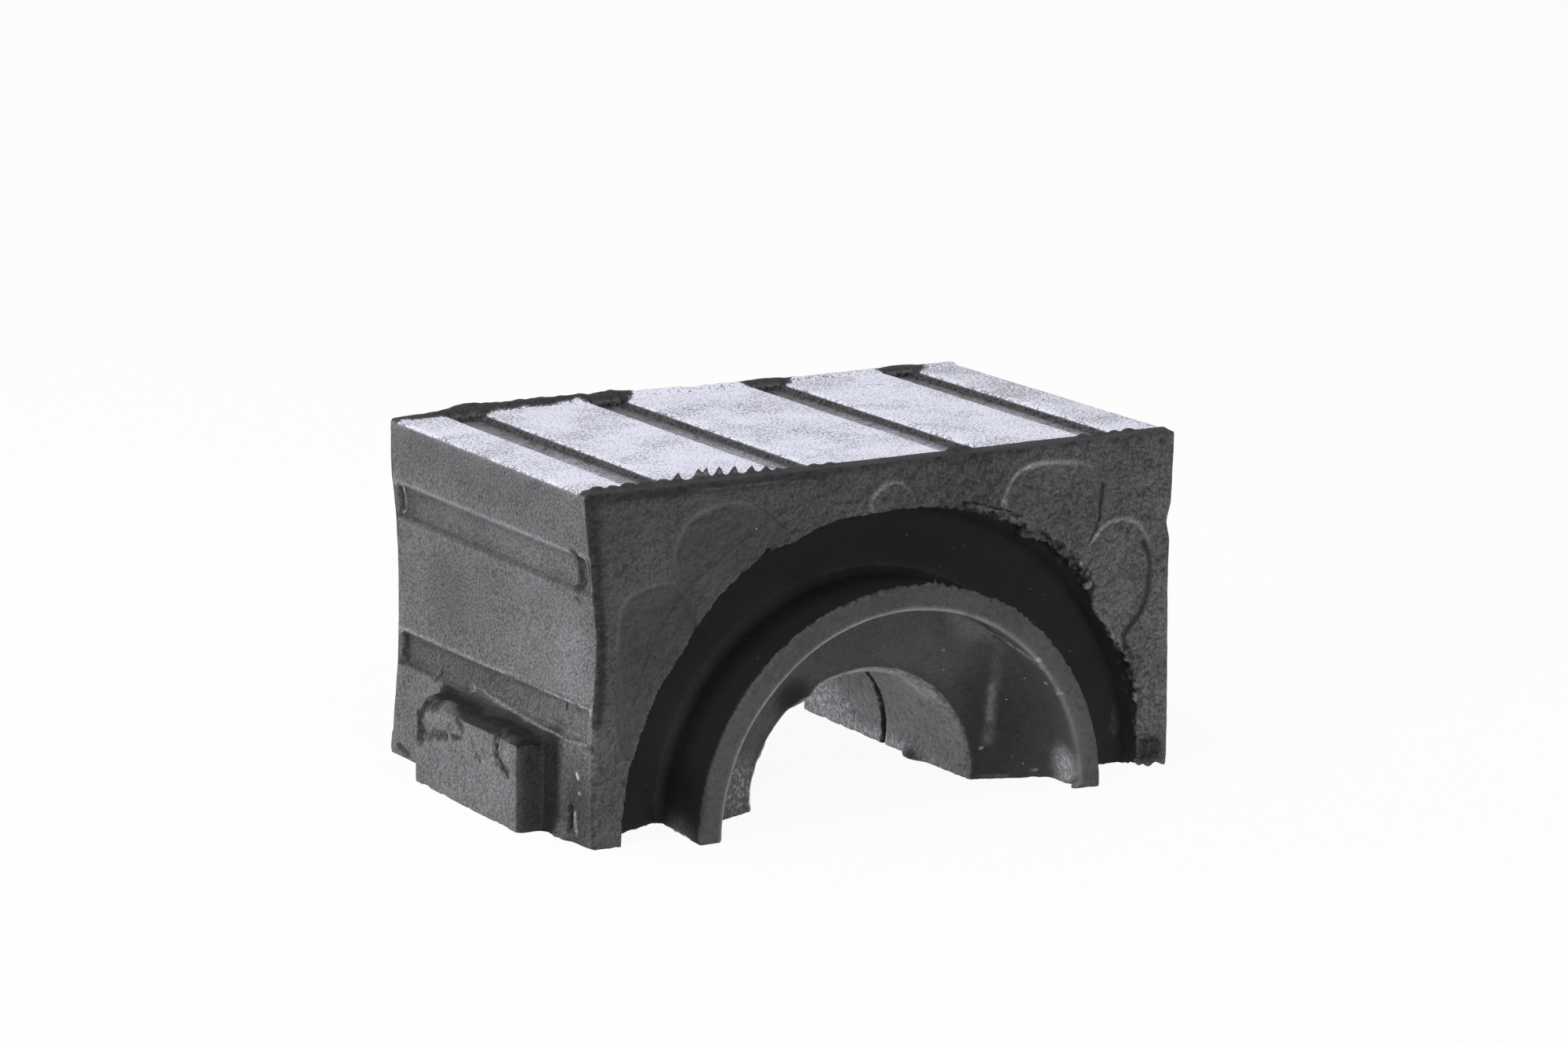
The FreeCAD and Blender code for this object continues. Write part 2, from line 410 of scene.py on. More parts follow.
MARKS = {
    Face.FRONT: (
        Mark(((-6.2, 31.6), (-11.0, 30.1), (-13.1, 29.4), (-18.1, 26.6), (-22.8, 22.9), (-25.6, 19.0),
              (-27.5, 13.5)), 0.13, -0.03, 54, 0.4),
        Mark(((-13.1, 29.4), (-16.9, 27.9), (-21.3, 24.7), (-24.1, 21.4)), 0.1, -0.02, 56, 0.3),
        Mark(((-14.7, 30.9), (-13.1, 29.9), (-11.8, 28.5), (-10.6, 27.6)), 0.15, -0.05, 50, 0.5),
        Mark(((-21.6, 33.0), (-16.0, 32.9), (-11.2, 32.8), (-6.8, 32.4)), 0.13, 0.05, 104, 0.5, 0.2),
        # painted shadow down the left margin of the front face
        Mark(((-31.9, 33.2), (-31.9, 26.0), (-31.9, 20.0), (-32.1, 12.0)), 0.9, 0.0, 42, 0.8, soft=0.2),
        Mark(((23.75, 29.0), (23.6, 28.1), (23.5, 25.6)), 0.22, -0.1, 40, 0.8),
        Mark(((23.5, 25.2), (25.8, 25.4), (28.0, 24.6)), 0.16, 0.05, 112, 0.65),
        # real crease, drawn with painted shade along it
        Mark(((28.6, 22.8), (29.6, 21.4), (29.4, 19.0), (29.1, 17.1), (28.2, 15.4), (26.5, 14.1),
              (26.2, 13.2), (26.9, 11.9)), 0.42, -0.12, 40, 0.75, soft=0.0),
        Mark(((29.8, 16.2), (31.7, 16.3)), 0.16, 0.05, 112, 0.6, 0.3),
        Mark(((31.2, 13.5), (30.0, 13.4), (29.8, 12.6), (28.5, 11.9), (27.9, 11.6)), 0.15, 0.06, 116,
             0.65, 0.3),
        Mark(((29.9, 12.6), (30.1, 11.3), (29.6, 10.1)), 0.15, 0.05, 108, 0.5, 0.3),
        Mark(((12.2, 28.9), (12.6, 28.3), (12.2, 28.1), (12.3, 27.4), (12.4, 26.5)), 0.1, 0.06, 150, 0.8),
        Mark(((8.1, 28.2), (9.9, 27.8), (11.6, 27.2), (13.0, 26.7)), 0.16, -0.1, 30, 0.9, 0.4),
        Mark(((28.9, 2.6), (29.8, 3.2), (31.0, 2.8), (31.2, 1.6), (30.2, 0.9), (29.0, 1.3), (28.9, 2.6)),
             0.3, 0.12, 44, 0.6, 0.5, soft=0.0),
    ),
    Face.LEFT: (
        Mark(((19.3, 27.1), (19.1, 25.6), (19.3, 24.3)), 0.14, 0.06, 190, 0.8, 0.8),
        Mark(((20.5, 33.0), (20.5, 28.0), (20.3, 22.0)), 0.4, 0.0, 56, 0.75, soft=0.0),
        Mark(((12.8, 11.9), (12.6, 11.0), (12.4, 9.2), (11.7, 9.0)), 0.14, 0.05, 140, 0.6),
        Mark(((11.8, 9.9), (12.0, 9.2)), 0.3, -0.1, 50, 0.8, 0.3),
        Mark(((5.2, 10.2), (4.2, 9.8), (5.0, 9.4)), 0.14, 0.05, 150, 0.7, 0.4),
        Mark(((-17.2, 27.0), (-17.4, 25.8), (-17.3, 24.4)), 0.8, -0.12, 46, 1.0, 0.3, soft=0.5),
        Mark(((-17.7, 26.5), (-17.8, 25.2)), 0.16, 0.06, 92, 0.8),
        Mark(((-19.8, 27.3), (-19.9, 26.0), (-19.7, 24.4)), 0.3, -0.1, 48, 0.9, 0.3, soft=0.0),
        Mark(((-17.0, 23.1), (-17.4, 22.9)), 0.3, -0.1, 60, 0.8, 0.4),
        Mark(((-14.2, 12.8), (-14.0, 11.6)), 0.18, -0.15, 40, 0.9),
        Mark(((-16.8, 12.8), (-18.2, 12.4)), 0.16, -0.12, 48, 0.8),
        Mark(((-3.0, 12.9), (-10.0, 13.0), (-19.6, 13.1)), 0.13, 0.0, 74, 0.6),
        Mark(((-16.6, 3.1), (-16.4, 1.2)), 0.42, -0.4, 34, 0.95, 0.4),
        Mark(((-17.9, 6.7), (-18.1, 6.4)), 0.28, 0.12, 205, 0.9),
        Mark(((-18.2, 5.0), (-18.5, 5.0)), 0.14, 0.05, 180, 0.9),
        Mark(((-17.6, 2.8), (-17.8, 1.0)), 0.3, 0.1, 165, 0.8, 0.7),
        # painted shade on the left face beside the lug's front flank
        Mark(((-12.9, 8.5), (-12.9, 4.0), (-12.9, 0.3)), 1.6, 0.0, 36, 0.95, soft=0.4),
        Mark(((6.0, 9.3), (0.0, 9.15), (-8.0, 9.0), (-12.0, 8.8)), 0.3, 0.0, 44, 0.8, 0.5),
        Mark(((4.0, 10.1), (0.3, 9.7), (-5.6, 9.5), (-11.3, 9.3), (-16.9, 9.3), (-20.0, 9.5)), 0.12, 0.05,
             132, 0.8, 0.3),
        Mark(((1.0, 10.3), (-5.6, 10.1), (-11.3, 9.9), (-16.9, 9.9)), 0.1, 0.04, 118, 0.6, 0.5),
        Mark(((18.9, 0.9), (17.0, 0.5)), 0.45, -0.15, 48, 0.8, soft=0.0),
    ),
    Face.LUG: (
        Mark(((8.7, 5.0), (9.0, 6.3), (8.7, 7.6), (7.4, 8.7), (5.4, 8.9)), 1.2, -0.2, 34, 0.95, 0.4),
        Mark(((8.4, 4.7), (7.4, 5.1), (6.2, 5.1)), 0.6, -0.1, 56, 0.7, 0.6, soft=0.0),
        Mark(((6.6, 6.9), (5.0, 7.2), (2.6, 7.4)), 0.8, 0.12, 130, 0.5, 0.5, soft=0.0),
        Mark(((5.4, 5.7), (4.4, 5.6), (2.9, 6.0)), 0.5, -0.12, 54, 0.8, 0.5),
        Mark(((1.4, 6.1), (0.6, 6.3), (-0.3, 6.6)), 0.4, -0.12, 60, 0.7, 0.6),
        Mark(((0.4, 7.9), (-0.6, 7.5)), 0.5, -0.12, 58, 0.8, 0.5),
        Mark(((-2.6, 6.9), (-3.2, 5.8), (-4.2, 5.2)), 0.35, -0.08, 78, 0.6, 1.0),
        # step on the lug, with its soft shadow painted dark beside it
        Mark(((-7.9, 9.0), (-7.6, 7.8), (-7.5, 6.5), (-8.3, 5.9), (-9.8, 5.2)), 0.6, -0.25, 48, 0.9, 0.8,
             soft=0.0),
        Mark(((-10.2, 8.2), (-9.9, 6.8)), 0.8, 0.05, 142, 0.4, soft=0.0),
    ),
    Face.WEB: (
        Mark(((8.4, 17.4), (10.4, 16.3), (12.9, 14.8)), 0.8, 0.0, 116, 0.85, 0.3, soft=0.0),
        Mark(((13.7, 13.6), (13.8, 12.0), (13.9, 10.5), (13.7, 8.1), (13.8, 6.5), (13.8, 4.0)), 0.7, 0.0,
             104, 0.8, 0.2, soft=0.0),
        Mark(((13.6, 9.6), (13.7, 8.0), (13.8, 6.0)), 0.35, 0.0, 150, 0.6, 0.3, soft=0.0),
        Mark(((8.1, 13.66), (8.3, 13.66)), 0.1, 0.0, 220, 0.9),
        Mark(((16.1, 2.2), (16.3, 2.2)), 0.09, 0.0, 210, 0.9),
        Mark(((13.1, 3.2), (13.3, 3.2)), 0.09, 0.0, 180, 0.9),
        Mark(((17.8, 0.9), (18.5, 0.75)), 0.09, 0.0, 190, 0.9),
        Mark(((15.8, 0.25), (12.8, 0.25)), 0.14, 0.0, 120, 0.7, 0.4),
    ),
    Face.COLLAR_INSIDE: (
        Mark(((24.0, -23.6), (19.0, -20.6), (17.0, -19.6)), 0.5, -0.1, 36, 0.8, soft=0.0),
        Mark(((17.6, -19.7), (16.5, -20.9), (15.8, -21.4), (15.2, -22.5), (14.5, -23.8)), 0.32, 0.05, 168,
             0.9, 0.9),
        Mark(((19.4, -19.2), (17.1, -20.4), (15.4, -22.6)), 0.16, 0.0, 156, 0.9, 0.9),
        Mark(((16.6, -20.2), (14.4, -22.2), (13.4, -23.6)), 0.14, 0.0, 150, 0.9, 0.9),
        Mark(((11.1, -22.2), (11.2, -22.5)), 0.16, 0.0, 220, 0.9),
    ),
    Face.COLLAR: (
        Mark(((15.0, 13.0), (15.8, 12.1), (16.4, 11.3)), 0.12, 0.0, 120, 0.6, 0.9),
        Mark(((16.8, 9.9), (17.3, 9.8), (17.9, 9.65)), 0.08, 0.0, 150, 0.8, 0.4),
        Mark(((17.1, 10.3), (17.2, 9.4)), 0.07, 0.0, 150, 0.8, 0.4),
    ),
}

PUSHES = (
    Push((-32.4, -14.6, 0.2), (2.6, 3.4, 1.8), (-0.75, -0.1, 0.0), 0.3),
    Push((28.6, -20.2, 0.0), (5.2, 3.2, 2.0), (0.0, 0.35, 0.7), 0.7),
    Push((23.4, -20.4, 0.6), (1.4, 2.0, 2.2), (0.5, 0.0, 1.2), 0.4),
    Push((32.2, -20.6, 24.6), (2.4, 3.2, 2.1), (-0.42, 0.0, 0.0), 0.0),
    Push((-35.0, 9.9, 9.0), (3.2, 2.4, 2.4), (0.5, -0.9, -1.0), 0.3),
    Push((12.1, -5.8, 0.1), (1.6, 2.9, 1.5), (-0.9, 0.0, 0.0), 0.1),
    Push((12.4, -15.75, 5.9), (1.6, 1.4, 1.6), (0.5, -0.2, 0.0), 0.2),
    Push((19.8, -23.6, 0.0), (1.0, 1.2, 0.9), (-0.7, 0.0, 0.0), 0.2),
    Push((-6.2, -15.6, 10.4), (2.2, 1.8, 2.2), (0.35, 0.0, -0.5), 0.3),
    Push((-32.2, 20.6, 1.0), (2.0, 2.0, 1.6), (-0.15, 0.2, 0.1), 0.5),
)

STAINS_AND_SHADE = (
    # painted shade on the left face in front of the lug's flank
    StainAndShade((-32.2, -18.0, 3.0), (2.2, 5.0, 7.5), LEFTWARD, -0.35),
    StainAndShade((-32.2, 0.0, 31.5), (2.0, 30.0, 5.0), LEFTWARD, -0.1),
    StainAndShade((-32.2, 8.0, 18.0), (2.0, 9.0, 7.0), LEFTWARD, -0.12),
    StainAndShade((-32.2, -16.0, 17.0), (2.0, 6.0, 8.0), LEFTWARD, 0.1),
    StainAndShade((-32.2, 18.0, 26.0), (2.0, 4.0, 3.0), LEFTWARD, -0.12),
    StainAndShade((-35.0, -1.0, 3.0), (1.5, 15.0, 9.0), LEFTWARD, 0.07),
    StainAndShade((-13.8, -16.5, 2.5), (4.5, 3.0, 5.0), FORWARD, 0.35, froth=1.6),
    # painted shade on the web round the nub at the bore's left edge
    StainAndShade((-8.0, -16.5, 10.8), (3.2, 3.0, 3.0), FORWARD, -0.6),
    StainAndShade((-21.8, -20.0, 3.6), (2.5, 6.0, 5.0), LEFTWARD, -0.3),
    StainAndShade((-21.8, -20.0, 0.0), (2.5, 5.0, 2.6), LEFTWARD, 1.2, froth=0.8),
    StainAndShade((10.8, -18.2, 15.9), (3.4, 1.6, 2.6), FORWARD, 0.35),
    StainAndShade((14.0, -17.0, 5.0), (7.5, 3.0, 11.0), FORWARD, -0.34),
    StainAndShade((19.7, -21.3, 1.8), (1.6, 3.2, 3.2), LEFTWARD, 0.9, froth=1.0),
    StainAndShade((27.7, -17.8, 4.4), (0.6, 1.5, 2.6), FORWARD, 0.3, froth=1.0),
    StainAndShade((12.0, -5.8, 0.3), (2.0, 2.4, 1.2), LEFTWARD, -0.6),
    StainAndShade((11.8, 11.0, 2.2), (2.5, 9.0, 4.0), LEFTWARD, 0.15, froth=1.5),
    StainAndShade((12.0, 1.0, 0.2), (2.0, 16.0, 1.8), LEFTWARD, 0.15, froth=1.5),
    StainAndShade((7.5, -13.0, 9.0), (3.5, 3.0, 3.0), LEFTWARD, 0.2, froth=0.3),
    StainAndShade((29.6, -20.75, 1.8), (2.8, 1.0, 2.6), FORWARD, -0.4, froth=0.35),
)

RINGS = (
    RaggedRing(22.2, 23.95, 0.7, 0.3, 0.6, bias=0.1, first=30, last=150, seed=3.0),
    RaggedRing(22.2, 23.95, 0.6, 0.1, 1.4, bias=0.0, first=0, last=180, seed=4.0),
    RaggedRing(12.0, 15.75, 0.8, 0.3, 1.2, bias=0.65, first=6, last=174, seed=5.0),
)

TORN_EDGE = (
    (6.0, 0.1), (13.0, 0.5), (17.7, 0.8), (24.3, 0.7), (27.7, 0.3), (33.8, 0.25), (36.8, 0.3), (40.8, 0.9),
    (43.1, 1.5), (47.0, 1.4), (53.9, 1.5), (56.3, 1.1), (58.8, 0.6), (59.8, 1.1), (61.0, 1.6), (66.8, 1.1),
    (75.0, 0.9), (84.0, 0.6), (92.0, 0.4), (104.0, 0.75), (111.0, 0.5), (115.6, 1.1), (116.4, 1.7),
    (120.0, 1.15), (125.0, 1.0), (131.0, 0.75), (136.0, 0.35), (141.0, 0.1), (151.0, 0.3), (170.0, 0.2),
)


@dataclass
class Flash:
    """Flash that grows out of the moulding, made as closed solids that overlap it."""

    block: Block
    fin_sides: int = field(default=8, init=False)
    fin_tip: float = field(default=0.08, init=False)

    def fin(self, mould: bmesh.types.BMesh, foot: Triple, size: Triple, lean: Pair) -> None:
        """Adds one pointed fin.

        Args:
            mould: The mesh that it is added to.
            foot: Middle of its foot.
            size: Its width in X, thickness in Y and height in Z.
            lean: How far its tip is shifted in X and Y.
        """
        made = bmesh.ops.create_cone(
            mould, cap_ends=True, segments=self.fin_sides, radius1=0.5, radius2=self.fin_tip, depth=1.0)
        skew = Matrix.Identity(4)
        skew[0][2], skew[1][2] = lean[0] / size[2], lean[1] / size[2]
        place = Matrix.Translation(foot) @ skew @ Matrix.Diagonal((*size, 1.0))
        place = Matrix.Scale(MM, 4) @ place @ Matrix.Translation((0.0, 0.0, 0.5))
        bmesh.ops.transform(mould, matrix=place, verts=made["verts"])

    def crumb(self, mould: bmesh.types.BMesh, centre: Triple, size: Triple) -> None:
        """Adds one rounded crumb of rubber.

        Args:
            mould: The mesh that it is added to.
            centre: Its middle.
            size: Its size along each axis.
        """
        made = bmesh.ops.create_icosphere(mould, subdivisions=2, radius=0.5)
        place = Matrix.Scale(MM, 4) @ Matrix.Translation(centre) @ Matrix.Diagonal((*size, 1.0))
        bmesh.ops.transform(mould, matrix=place, verts=made["verts"])


@dataclass
class SawTeeth(Flash):
    """Row of torn teeth that the mould left on the front lip, over the second land."""

    places: tuple[float, ...] = (-22.2, -20.0, -19.2, -17.8, -16.2, -14.4, -12.8, -11.6, -10.4)
    heights: tuple[float, ...] = (0.75, 0.95, 0.95, 0.85, 0.78, 0.62, 0.5, 0.2, 0.15)
    widths: tuple[float, ...] = (1.9, 1.6, 1.6, 1.7, 1.7, 1.8, 1.7, 1.5, 1.2)
    thickness: float = 0.9
    lean: Pair = (0.25, 0.05)
    sunk: float = 0.2
    root: float = 0.45

    def grow(self, mould: bmesh.types.BMesh) -> None:
        """Adds the teeth to the moulding.

        Args:
            mould: The mesh that they are added to.
        """
        crest = -self.block.half_depth + self.block.lip_crest
        for place, height, width in zip(self.places, self.heights, self.widths):
            foot = (place, crest, self.block.height - self.sunk)
            self.fin(mould, foot, (width, self.thickness, height + self.root), self.lean)


@dataclass
class LipCrumbs(Flash):
    """Crumbs along the front lip, and the fuller stretches of the rear one."""

    front: Curve = (
        (-30.4, 0.3), (-28.8, 0.25), (-27.2, 0.4), (-25.4, 0.42), (-23.6, 0.36), (8.0, 0.5), (9.0, 0.35),
        (22.4, 0.25), (24.2, 0.3), (26.0, 0.22), (27.6, 0.28), (-7.6, 0.2), (-5.8, 0.18))
    front_rise: float = 0.2
    thickness: float = 0.9
    rear_size: Triple = (5.8, 1.9, 0.7)
    rear_shift: Triple = (0.6, 0.55, -0.05)

    def grow(self, mould: bmesh.types.BMesh) -> None:
        """Adds the crumbs to the moulding.

        Args:
            mould: The mesh that they are added to.
        """
        crest, top = self.block.half_depth - self.block.lip_crest, self.block.height
        for place, height in self.front:
            size = (height * 3.4 + 0.4, self.thickness, height * 2)
            self.crumb(mould, (place, -crest, top + self.front_rise), size)
        across, along, up = self.rear_shift
        for place in self.block.groove_places:
            self.crumb(mould, (place + across, crest + along, top + up), self.rear_size)


@dataclass
class CollarTuft(Flash):
    """Hair-like flash on top of the front collar's outer edge: its angles and lengths."""

    hairs: Curve = (
        (97.0, 0.2), (92.0, 0.3), (87.0, 0.2), (83.5, 0.45), (81.5, 0.7), (79.5, 0.5), (76.0, 0.3),
        (70.0, 0.25), (63.0, 0.2), (56.0, 0.25), (50.0, 0.2))
    thickness: float = 0.5
    sunk: float = 0.35
    root: float = 0.4
    set_back: float = 0.45

    def grow(self, mould: bmesh.types.BMesh) -> None:
        """Adds the tuft to the moulding.

        Args:
            mould: The mesh that it is added to.
        """
        front = -self.block.half_depth - self.block.collar_reach + self.set_back
        reach = self.block.collar_radius - self.sunk
        for angle, length in self.hairs:
            turn = math.radians(angle)
            foot = (math.cos(turn) * reach, front, math.sin(turn) * reach)
            size = (self.thickness, self.thickness, length + self.root)
            self.fin(mould, foot, size, (math.cos(turn) * length, 0.0))


@dataclass
class Skinned:
    """Arrays of the skin while it is weathered and painted, in millimetres.

    place and facing are where each point lies and faces at first, and moved where it goes. radius
    and angle are taken round the bar's axis, the angle in degrees from the right-hand foot, and
    outward is the way straight out from that axis. ends holds the two points of each edge.
    """

    mesh: bpy.types.Mesh
    block: Block
    paint: dict[str, Array] = field(default_factory=dict)
    place: Array = field(init=False)
    facing: Array = field(init=False)
    moved: Array = field(init=False)
    ends: Array = field(init=False)
    x: Array = field(init=False)
    y: Array = field(init=False)
    z: Array = field(init=False)
    radius: Array = field(init=False)
    angle: Array = field(init=False)
    outward: Array = field(init=False)
    softening: float = 0.6

    def __post_init__(self) -> None:
        """Reads the places, the normals and the edges of the mesh."""
        vertices, edges = self.mesh.vertices, self.mesh.edges
        flat = np.empty(len(vertices) * 3, dtype=np.float32)
        vertices.foreach_get("co", flat)
        self.place = flat.reshape(-1, 3).astype(float) / MM
        vertices.foreach_get("normal", flat)
        self.facing = flat.reshape(-1, 3).astype(float)
        self.moved = self.place.copy()
        self.ends = np.empty(len(edges) * 2, dtype=np.int32)
        edges.foreach_get("vertices", self.ends)
        self.x, self.y, self.z = self.place.T
        self.radius = np.hypot(self.x, self.z)
        self.angle = np.degrees(np.arctan2(self.z, self.x))
        spoke = self.place * np.array([1.0, 0.0, 1.0])
        self.outward = spoke / np.maximum(np.linalg.norm(spoke, axis=1), TINY)[:, None]

    def soften(self, values: Array, rounds: int) -> Array:
        """Averages values with those of the neighbouring points.

        Args:
            values: One value for each point.
            rounds: How many times they are averaged.

        Returns:
            The softened values.
        """
        first, second = self.ends[0::2], self.ends[1::2]
        count = np.maximum(np.bincount(self.ends, minlength=len(values)), 1)
        for _ in range(rounds):
            total = np.bincount(first, values[second], len(values))
            total += np.bincount(second, values[first], len(values))
            values = (1.0 - self.softening) * values + self.softening * total / count
        return values

    def ridges(self, rounds: int) -> Array:
        """Height of each point over its surroundings, as wide as these rounds of softening."""
        softened = np.column_stack([self.soften(axis, rounds) for axis in self.moved.T])
        return ((self.moved - softened) * self.facing).sum(axis=1)

    def drawn(self, face: Face) -> tuple[Array, Array, Array]:
        """Finds the points of one face.

        Args:
            face: The face that marks are drawn on.

        Returns:
            The points' indices, their two coordinates on the face, and its outward direction.
        """
        block, x, y, radius = self.block, self.x, self.y, self.radius
        left, front = -block.half_width, -block.half_depth
        on_side, on_end = self.place[:, [1, 2]], self.place[:, [0, 2]]
        unrolled = np.column_stack([np.radians(self.angle) * block.collar_inside, y])
        near_collar = np.abs(radius - block.collar_inside) < 0.5
        test, flat, outwards = {
            Face.LEFT: ((x < left + 1.1) & (x > left - 0.6), on_side, LEFTWARD),
            Face.LUG: (x < left - block.lug_reach + 0.8, on_side, LEFTWARD),
            Face.FRONT: ((y < front + 0.5) & (radius > block.recess_radius - 0.3), on_end, FORWARD),
            Face.WEB: ((y < -15.0) & (y > -19.5) & (radius < block.collar_inside + 0.4), on_end, FORWARD),
            Face.COLLAR: (y < front - block.collar_reach + 0.6, on_end, FORWARD),
            Face.COLLAR_INSIDE: ((y < -18.4) & near_collar, unrolled, FORWARD),
        }[face]
        chosen = np.flatnonzero(test)
        return chosen, flat[chosen], np.array(outwards)

    def closeness(self, mark: Mark, chosen: Array, flat: Array) -> Array:
        """Grades points by how much of a mark each gets.

        Args:
            mark: The mark.
            chosen: Indices of the points of its face.
            flat: Their two coordinates on it.

        Returns:
            One grade for each, 0 where the mark doesn't reach.
        """
        gap = path_distance(flat, rounded(mark.path, closed=False))
        near = step(gap, mark.width * 1.5, mark.width * mark.soft)
        if mark.ragged:
            close = np.flatnonzero(near > 0.0)
            sway = rough(self.place[chosen[close]], (1.0, 0.5, 16.0))
            near[close] *= np.clip(1.0 + mark.ragged * 2.0 * sway, 0.0, 1.6)
        return near

    def turn(self, where: Array | slice, grey: float, *shares: Array | float) -> None:
        """Turns the tone of some points towards a grey.

        Args:
            where: The points.
            grey: The grey level.
            *shares: Factors that say together how far it turns.
        """
        tone = self.paint["tone"]
        change = grey - tone[where]
        for share in shares:
            change = change * share
        tone[where] += change

    def store(self) -> None:
        """Writes the moved places and the painted values to the mesh."""
        self.mesh.vertices.foreach_set("co", (self.moved * MM).astype(np.float32).ravel())
        for name, values in self.paint.items():
            layer = self.mesh.attributes.new(name, "FLOAT", "POINT")
            layer.data.foreach_set("value", values.astype(np.float32))
        self.mesh.update()


@dataclass
class Weathering:
    """Waves, tears, flow marks and nicks of the moulded skin.

    A wave is the height, the cell and the seed of a noise. The rise and share curves give a
    height or a share for each place in X, or for each angle round the bar's axis.
    """

    skin: Skinned
    soft_waves: tuple[Triple, ...] = ((0.07, 9.0, 1.0), (0.025, 1.5, 2.0))
    rear_lip_rise: Curve = (
        (-32.0, 0.05), (-28.5, 0.15), (-25.0, 0.55), (-8.0, 0.5), (2.0, 0.2), (30.0, 0.05))
    rear_lip_waves: tuple[Triple, ...] = ((0.5, 3.0, 23.0), (0.3, 0.9, 24.0))
    sag_heights: tuple[float, ...] = (0.0, 3.0, 6.0, 9.3, 13.0, 17.0, 20.0, 23.8, 26.0, 28.0, 30.5, 33.5)
    rear_sag: tuple[float, ...] = (0.0, 0.15, 0.42, 0.68, 0.76, 0.8, 0.78, 0.65, 0.46, 0.18, 0.12, 0.1)
    front_sag: tuple[float, ...] = (
        0.45, 0.42, 0.42, 0.45, 0.75, 1.05, 1.1, 0.75, 0.6, 0.38, 0.12, -0.12)
    right_share: float = 0.3
    band_tilt: float = 0.42
    torn_share: float = 0.8
    wander_share: Curve = (
        (8.0, 0.5), (20.0, 1.0), (70.0, 1.0), (95.0, 0.35), (125.0, 0.45), (180.0, 0.25))
    wander_waves: tuple[Triple, ...] = ((0.4, 0.9, 12.0), (0.3, 0.4, 11.0))
    shred_depth: float = 0.45
    mould_line_lean: float = -0.25
    mould_line_wave: Triple = (0.3, 2.2, 21.0)
    lug_wave: Triple = (0.2, 2.6, 28.0)
    feet_waves: tuple[Triple, ...] = ((0.2, 2.4, 17.0), (0.12, 0.8, 18.0))

    def apply(self) -> None:
        """Moves the skin's points by each kind of wear in turn."""
        for wear in (self.wave, self.raise_rear_lip, self.pull_in_sides, self.tilt_bands, self.tear_rings,
                     self.tear_arch, self.swell_flow, self.push, self.mark, self.lean_mould_line,
                     self.roughen_lug, self.roughen_feet):
            wear()

    def wave(self) -> None:
        """Gives the whole skin the slight waves of soft rubber."""
        skin = self.skin
        skin.moved += skin.facing * rough(skin.place, *self.soft_waves)[:, None]

    def raise_rear_lip(self) -> None:
        """Draws the rear lip up into the thick, uneven flash that the left half of it carries."""
        skin, block = self.skin, self.skin.block
        lip = skin.y > block.half_depth - block.land_end - 0.4
        close = np.flatnonzero((skin.z > block.height - 0.3) & lip)
        crest = bell(skin.y[close], block.half_depth - 0.9, 1.4)
        sway = rough(skin.place[close], *self.rear_lip_waves, base=1.0)
        skin.moved[close, 2] += crest * curve(skin.x[close], self.rear_lip_rise) * sway

    def pull_in_sides(self) -> None:
        """Hollows the side faces, as both upright edges of the left one show it."""
        skin = self.skin
        across = np.abs(skin.x)
        edge = step(across, 29.0, 31.9) * step(across, 34.0, 32.5)
        rear = np.interp(skin.z, self.sag_heights, self.rear_sag)
        front = np.interp(skin.z, self.sag_heights, self.front_sag)
        share = np.clip(0.5 - skin.y / skin.block.half_depth / 2.0, 0.0, 1.0)
        side = np.where(skin.x < 0, 1.0, self.right_share)
        skin.moved[:, 0] -= np.sign(skin.x) * edge * side * (rear + (front - rear) * share)

    def tilt_bands(self) -> None:
        """Tips the lower band of the left side so that it rises to the front."""
        skin = self.skin
        near = step(skin.x, -30.5, -31.4) * bell(skin.z, 11.2, 4.4)
        skin.moved[:, 2] -= near * self.band_tilt * skin.y / skin.block.half_depth

    def tear_rings(self) -> None:
        """Makes the round edges wander, as flash and tears leave them."""
        skin = self.skin
        for ring in RINGS:
            gap = np.hypot(skin.radius - ring.radius, np.abs(skin.y) - ring.place)
            middle, half = (ring.first + ring.last) / 2, (ring.last - ring.first) / 2
            near = step(gap, ring.reach, 0.0) * bell(skin.angle, middle, half + 4.0) ** 0.3
            close = np.flatnonzero(near > 0.0)
            waves = ((1.0, ring.cell, ring.seed), (0.5, ring.cell / 2.2, ring.seed + 9.0))
            sway = rough(skin.place[close], *waves)
            shift = near[close] * (ring.swing * sway * 1.6 + ring.bias)
            skin.moved[close] += skin.outward[close] * shift[:, None]

    def tear_arch(self) -> None:
        """Pushes the front edge of the arch out to where it tore, and breaks the rubber beside it."""
        skin, block = self.skin, self.skin.block
        front = -block.half_depth
        gap = np.hypot(skin.radius - block.recess_radius, skin.y - front)
        close = np.flatnonzero((gap < 3.2) & (skin.y < front + 2.6))
        places, angle, gap = skin.place[close], skin.angle[close], gap[close]
        width = curve(angle, TORN_EDGE)
        wander = curve(angle, self.wander_share) * rough(places, *self.wander_waves)
        shift = step(gap, 3.2, 0.3) * (width * self.torn_share + wander * step(gap, 1.4, 0.2))
        skin.moved[close] += skin.outward[close] * shift[:, None]
        beside = bell(skin.radius[close], block.recess_radius + 0.5, 0.9)
        beside *= step(places[:, 1], front + 0.5, front + 0.2)
        broken = step(rough(places, (1.0, 0.7, 13.0)), -0.1, 0.25) * step(width, 0.35, 0.9)
        skin.moved[close, 1] += beside * broken * step(angle, 80.0, 66.0) * self.shred_depth

    def swell_flow(self) -> None:
        """Raises the patches of the front face that the flow marks bound."""
        skin = self.skin
        front = np.flatnonzero(skin.y < -skin.block.half_depth + 0.3)
        for mark in FLOW_MARKS:
            _, gap, within = mark.measure(skin.place[front][:, [0, 2]])
            signed = np.where(within, gap, -gap)
            swell = 0.6 * step(signed, -0.12, 0.16) + 0.4 * step(signed, 0.0, 2.0)
            skin.moved[front, 1] -= mark.height * swell

